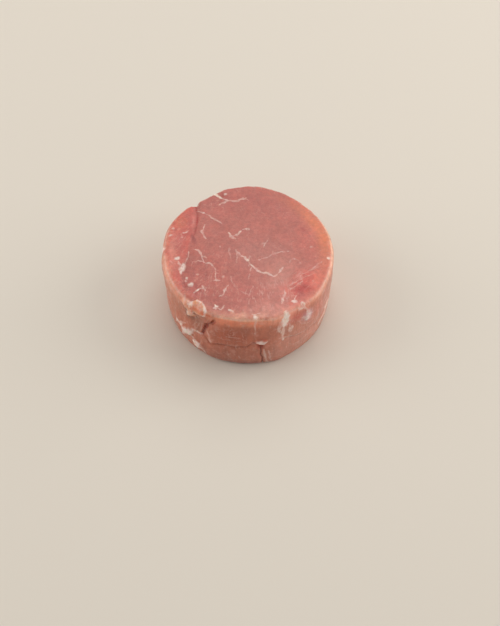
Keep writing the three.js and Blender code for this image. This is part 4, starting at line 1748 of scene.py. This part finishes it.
@dataclass
class VealMedallion:
    """The whole cut of meat, shaped from a drum of fine squares."""

    wall: Wall = Wall()
    face: CutFace = CutFace()
    flap: Flap = Flap()
    marbling: Marbling = Marbling()
    wall_fat: WallFat = WallFat()
    complexion: Complexion = Complexion()
    finish: RawVeal = RawVeal()
    segments: int = 288
    rings: int = 36
    drum_radius: float = 37.0
    rim_share: float = 2.5
    broad_relief: float = 0.13
    bundle_relief: float = 0.04
    streak_relief: float = 0.014
    strand_relief: float = 0.22
    fat_relief: float = 0.13
    wall_fat_relief: float = 0.33
    rim_nicks: float = 0.16
    torn_run: Point = (0.62, 0.78)  # cosine and sine of the torn fibre's slant
    finer_above: float = 0.01
    finest_from: float = 0.15
    finest_clefts_from: float = 0.6
    flap_spans: Point = (-5.0, 18.0)  # millimetres down over the rim
    middle: Array = field(default_factory=lambda: np.zeros(3))  # of the form from above, set by refine

    def build(self) -> bpy.types.Object:
        """Models and dresses the medallion.

        Returns:
            The finished piece, at the origin.
        """
        piece = self.model_drum()
        self.refine(piece)
        self.shape(piece)
        piece.data.materials.append(self.finish.build())
        bpy.ops.object.shade_smooth()
        return piece

    def model_drum(self) -> bpy.types.Object:
        """Models a closed drum with a grid of squares over its ends and wall.

        Returns:
            The drum.
        """
        step = self.wall.height / self.rings * MM
        bpy.ops.object.select_all(action="DESELECT")
        bpy.ops.mesh.primitive_circle_add(
            vertices=self.segments, radius=self.drum_radius * MM, fill_type="NOTHING", enter_editmode=True
        )
        piece = bpy.context.object
        piece.name = piece.data.name = "veal_medallion_flesh"
        bpy.ops.mesh.select_all(action="SELECT")
        bpy.ops.transform.translate(value=(0.0, 0.0, self.wall.height * MM))
        bpy.ops.mesh.fill_grid(span=self.segments // 4)
        bpy.ops.mesh.select_all(action="DESELECT")
        bpy.ops.mesh.select_mode(type="EDGE")
        bpy.ops.mesh.select_non_manifold()
        for _ in range(self.rings):
            bpy.ops.mesh.extrude_edges_move(TRANSFORM_OT_translate={"value": (0.0, 0.0, -step)})
        bpy.ops.mesh.fill_grid(span=self.segments // 4)
        bpy.ops.mesh.select_all(action="SELECT")
        bpy.ops.mesh.normals_make_consistent(inside=False)
        bpy.ops.mesh.select_all(action="DESELECT")
        bpy.ops.object.mode_set(mode="OBJECT")
        return piece

    @staticmethod
    def subdivide(piece: bpy.types.Object, chosen: Array) -> None:
        """Splits the chosen faces into four.

        Args:
            piece: The drum.
            chosen: True for each face to split.
        """
        bpy.ops.object.mode_set(mode="EDIT")
        bpy.ops.mesh.select_mode(type="FACE")
        bpy.ops.mesh.select_all(action="DESELECT")
        bpy.ops.object.mode_set(mode="OBJECT")
        piece.data.polygons.foreach_set("select", chosen)
        bpy.ops.object.mode_set(mode="EDIT")
        bpy.ops.mesh.subdivide(number_cuts=1)
        bpy.ops.mesh.select_all(action="DESELECT")
        bpy.ops.object.mode_set(mode="OBJECT")

    @staticmethod
    def read(items: bpy.types.bpy_prop_collection, name: str) -> Array:
        """Reads a vector of each item as rows, in millimetres.

        Args:
            items: Vertices or faces.
            name: The property to read.

        Returns:
            One row for each item.
        """
        flat = np.empty(len(items) * 3)
        items.foreach_get(name, flat)
        return flat.reshape(-1, 3) / MM

    @staticmethod
    def write(mesh: bpy.types.Mesh, places: Array) -> None:
        """Moves the mesh's vertices to places given in millimetres."""
        mesh.vertices.foreach_set("co", (places * MM).ravel())
        mesh.update()

    def refine(self, piece: bpy.types.Object) -> None:
        """Makes the squares finer where the meat shows, and finest along its threads and clefts.

        Args:
            piece: The drum.
        """
        self.subdivide(piece, self.read(piece.data.polygons, "center")[:, 2] > self.finer_above)
        places = self.skin(self.read(piece.data.vertices, "co")).places
        self.middle = (places.max(axis=0) + places.min(axis=0)) / 2.0 * (1.0, 1.0, 0.0)
        skin = self.skin(self.read(piece.data.polygons, "center"))
        angle, height = self.wall.wandered(skin.angle, skin.places[:, 2])
        on_wall = skin.where(Zone.RIM, Zone.WALL, Zone.FOOT)
        detail = 0.5 * self.fat(skin).depth
        seam = self.face.seam_felt(*skin.places[:, :2].T) * skin.where(Zone.FACE, Zone.RIM)
        detail = np.maximum(detail, seam)
        for cleft in self.wall.clefts:
            if cleft.deep > self.finest_clefts_from:
                detail = np.maximum(detail, self.wall.cleft(cleft, angle, height) * on_wall)
        top, bottom = self.flap_spans
        near_flap = (skin.down > top) & (skin.down < bottom)
        for patch in (self.flap.lobe, self.flap.white_lobe, self.flap.gap):
            edge = patch.inside(self.wall, skin.angle, skin.down)
            detail = np.maximum(detail, 0.3 * bell(edge, 0.7) * near_flap)
        self.subdivide(piece, detail > self.finest_from)

    def skin(self, drum: Array) -> Skin:
        """Moves places on the plain drum onto the medallion's skin.

        Args:
            drum: Places on the drum.

        Returns:
            The points of the skin.
        """
        wall, face = self.wall, self.face
        from_axis = np.hypot(drum[:, 0], drum[:, 1])
        angle = np.degrees(np.arctan2(drum[:, 1], drum[:, 0])) % 360.0
        edge_of_base = self.drum_radius + wall.height
        along = edge_of_base - drum[:, 2]
        along = np.where(drum[:, 2] > wall.height - NEAR, from_axis, along)
        along = np.where(drum[:, 2] < NEAR, edge_of_base + self.drum_radius - from_axis, along)
        ends = (
            self.drum_radius,
            self.drum_radius + self.rim_share,
            edge_of_base - wall.foot_rounding,
            edge_of_base,
        )
        zone = np.searchsorted(ends, along - HAIR)
        c, s = np.cos(np.radians(angle)), np.sin(np.radians(angle))
        rounding = wall.rounding(angle)
        edge = wall.radius(angle, np.full(len(drum), wall.height)) - rounding
        shoulder = face.height(edge * c, edge * s) - rounding

        face_radius = edge * np.minimum(along / self.drum_radius, 1.0)
        face_height = face.height(face_radius * c, face_radius * s)
        turn = np.clip((along - self.drum_radius) / self.rim_share, 0.0, 1.0) * math.pi / 2
        rim_height = shoulder + rounding * np.cos(turn)
        wall_edge = wall.radius(angle, rim_height) - rounding
        rim_radius = blend(edge, wall_edge, np.sin(turn)) + rounding * np.sin(turn)
        share = np.clip((along - ends[1]) / (ends[2] - ends[1]), 0.0, 1.0)
        wall_height = blend(shoulder, wall.foot_rounding, share)
        wall_radius = wall.radius(angle, wall_height)
        tuck = np.clip((along - ends[2]) / wall.foot_rounding, 0.0, 1.0) * math.pi / 2
        foot_height = wall.foot_rounding * (1.0 - np.sin(tuck))
        foot_radius = wall.radius(angle, foot_height) - wall.foot_rounding * (1.0 - np.cos(tuck))
        inwards = np.clip((edge_of_base + self.drum_radius - along) / self.drum_radius, 0.0, 1.0)
        base_radius = (wall.radius(angle, np.zeros(len(drum))) - wall.foot_rounding) * inwards

        radii = (face_radius, rim_radius, wall_radius, foot_radius, base_radius)
        heights = (face_height, rim_height, wall_height, foot_height, np.zeros(len(drum)))
        radius, height = np.choose(zone, radii), np.choose(zone, heights)
        over_rim = blend(-rounding, wall.height - shoulder, turn / (math.pi / 2))
        on_face, below = face_radius - edge - rounding, wall.height - height
        down = np.choose(zone, (on_face, over_rim, below, below, below))
        return Skin(np.column_stack((radius * c, radius * s, height)), angle, down, zone)

    def shape(self, piece: bpy.types.Object) -> None:
        """Gives the drum the medallion's form, fine relief, colour and masks.

        Args:
            piece: The refined drum.
        """
        mesh = piece.data
        skin = self.skin(self.read(mesh.vertices, "co"))
        self.write(mesh, skin.places)
        normals = self.read(mesh.vertices, "normal") * MM
        fat = self.fat(skin)
        places = skin.places + normals * self.fine_relief(skin, fat)[:, None] - self.middle
        low, high = (np.array(corner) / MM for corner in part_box(NODE))
        self.write(mesh, np.clip(places, low, high))
        tint = mesh.attributes.new("tint", "FLOAT_COLOR", "POINT")
        light = Painter(self, skin).paint()
        tint.data.foreach_set("color", np.column_stack((light, np.ones(len(places)))).ravel())
        masks = {"fat": fat.depth, "white": fat.white, "cut": skin.where(Zone.FACE)}
        masks.update(self.strand_masks(skin))
        for name, values in masks.items():
            mask = mesh.attributes.new(name, "FLOAT", "POINT")
            mask.data.foreach_set("value", np.clip(values, 0.0, 1.0))

    def fat(self, skin: Skin) -> FatField:
        """Measures the fat of the whole skin.

        Args:
            skin: Points of the skin.

        Returns:
            How deep in fat each point is and how white it is.
        """
        ragged = Grain(Seed.FAT_EDGES).layered(skin.places, 1.4, 3)
        part = skin.places - self.middle
        fat = self.marbling.field(part[:, 0], part[:, 1])
        fat = FatField(fat.depth * skin.where(Zone.FACE, Zone.RIM), fat.white)
        angle, height = self.wall.wandered(skin.angle, skin.places[:, 2])
        on_wall = self.wall_fat.field(self.wall, angle, height, ragged)
        fat = fat.with_more(on_wall.depth * skin.where(Zone.RIM, Zone.WALL, Zone.FOOT), on_wall.white)
        u, v = skin.angle + 0.8 * ragged, skin.down - 0.6 * ragged
        for pale in self.flap.pale:
            distance, _ = self.wall.path_on_wall(pale.points, u, v)
            width = pale.half_width * np.clip(1.0 + 1.2 * ragged, 0.3, 2.0)
            white = pale.white * np.clip(0.9 + 1.2 * ragged, 0.2, 1.5)
            fat = fat.with_more(1.0 - 0.5 * distance / width, white)
        inside = self.flap.white_lobe.inside(self.wall, skin.angle, skin.down)
        patchy = np.clip(0.12 + 1.2 * ragged, 0.05, 1.0) + 0.4 * ease(skin.down, 4.0, 6.4)
        return fat.with_more(ease(inside + 0.5 * ragged, -0.5, 0.7), patchy)

    def strand_masks(self, skin: Skin) -> dict[str, Array]:
        """Works out where fine pale strands of the fibre show.

        Args:
            skin: Points of the skin.

        Returns:
            Masks for the strands that fan out to the front, and for those of the torn patch.
        """
        x, y, _ = (skin.places - self.middle).T
        on_face = skin.where(Zone.FACE)
        fanned = np.full(len(x), 0.1)
        for patch in self.complexion.fanned:
            fanned = np.maximum(fanned, patch.felt_on_face(x, y))
        torn = self.complexion.torn.felt_on_face(x, y)
        return {"fanned": fanned * on_face, "torn": torn * on_face}

    def fine_relief(self, skin: Skin, fat: FatField) -> Array:
        """Works out the relief that is too fine for the form.

        Args:
            skin: Points of the skin.
            fat: Its fat.

        Returns:
            How far each point stands out of the form.
        """
        places, flat = skin.places, np.zeros(len(skin.angle))
        lumpy = Grain(Seed.LUMPY_RELIEF).layered(places, 6.0, 3)
        fine = Grain(Seed.FINE_RELIEF).layered(places, 1.2, 2)
        on_face, on_wall = skin.where(Zone.FACE), skin.where(Zone.WALL)
        unrolled = np.column_stack((self.wall.along(270, skin.angle), places[:, 2], flat))
        relief = self.broad_relief * lumpy
        relief += self.bundle_relief * fine * on_face
        relief += self.streak_relief * Grain(Seed.WALL_STREAKS).at(unrolled, (1.1, 9.0, 1.0)) * on_wall
        fat_share = ease(fat.depth, 0.2, 0.8)
        height = blend(self.fat_relief, self.wall_fat_relief, skin.where(Zone.WALL, Zone.FOOT))
        relief += height * fat_share * (0.75 + 0.45 * fine) * np.clip(fat.white, 0.3, 1.0)

        x, y, _ = (places - self.middle).T
        red = next(patch for patch in self.complexion.face_patches if patch.name == "red, broad")
        c, s = self.torn_run
        slant = np.column_stack((x * c - y * s, x * s + y * c, flat))
        torn = red.felt_on_face(x, y) * on_face
        relief += self.strand_relief * torn * Grain(Seed.TORN_FIBRE).at(slant, (0.9, 7.0, 1.0))
        relief += self.rim_nicks * fine * bell(skin.down, 1.0)

        crumpled = Grain(Seed.FLAP_CRUMPLES).layered(places, 2.0, 3)
        u, v = skin.angle + 0.8 * crumpled, skin.down + 0.5 * crumpled
        relief += self.flap.relief(self.wall, u, v) * (1.0 + 0.3 * fine + 0.55 * crumpled)
        return relief * (1.0 - skin.where(Zone.BASE))


# ---- The studio ----


@dataclass(frozen=True)
class SoftBox:
    """A soft square light, aimed at a place; sizes and places in metres."""

    name: str
    at: tuple[float, float, float]
    size: float
    watts: float
    colour: Colour = (255, 250, 244)

    def build(self) -> None:
        """Hangs the light."""
        bpy.ops.object.light_add(type="AREA", location=self.at)
        light = bpy.context.object
        light.name = self.name
        light.data.size = self.size
        light.data.energy = self.watts
        light.data.color = linear(self.colour)[:3]
        away = math.hypot(self.at[0], self.at[1])
        light.rotation_euler = (math.atan2(away, self.at[2]), 0.0, math.atan2(self.at[0], -self.at[1]))


@dataclass(frozen=True)
class Studio:
    """The floor, the soft light and the camera."""

    floor_size: float = 4.0
    sky: Colour = (236, 232, 226)
    sky_strength: float = 0.5
    camera_at: tuple[float, float, float] = (1.1, -299.1, 403.5)
    look_down: float = 54.5
    lens: float = 63.26
    lights: tuple[SoftBox, ...] = (
        SoftBox("soft_light_behind", (0.15, 0.75, 1.0), 1.1, 5.5),
        SoftBox("soft_light_right", (0.95, 0.15, 0.42), 0.8, 5.5),
        SoftBox("soft_light_left", (-0.95, 0.1, 0.42), 0.8, 4.0),
    )

    def build(self) -> None:
        """Sets the medallion's surroundings."""
        bpy.ops.object.select_all(action="DESELECT")
        bpy.ops.mesh.primitive_plane_add(size=self.floor_size)
        floor = bpy.context.object
        floor.name = "studio_floor"
        floor.data.materials.append(PlainFloor().build())
        for light in self.lights:
            light.build()
        world = bpy.data.worlds.new("soft_sky")
        world.use_nodes = True
        world.node_tree.nodes["Background"].inputs["Color"].default_value = linear(self.sky)
        world.node_tree.nodes["Background"].inputs["Strength"].default_value = self.sky_strength
        bpy.context.scene.world = world
        bpy.context.scene.view_settings.view_transform = "Standard"
        bpy.ops.object.camera_add(
            location=tuple(c * MM for c in self.camera_at),
            rotation=(math.radians(90.0 - self.look_down), 0.0, 0.0),
        )
        camera = bpy.context.object
        camera.name = "camera"
        camera.data.lens = self.lens
        bpy.context.scene.camera = camera


def main() -> None:
    """Builds the medallion and its studio, in order."""
    logging.basicConfig(level=logging.INFO, format="%(message)s")
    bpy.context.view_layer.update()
    medallion = VealMedallion()
    piece = medallion.build()
    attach(piece, "root")
    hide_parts(NODE)
    log.info("%s: %d faces", piece.name, len(piece.data.polygons))
    studio = Studio()
    studio.build()
    log.info("studio: floor, %d lights and camera", len(studio.lights))
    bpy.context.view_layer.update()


if __name__ == "__main__":
    main()
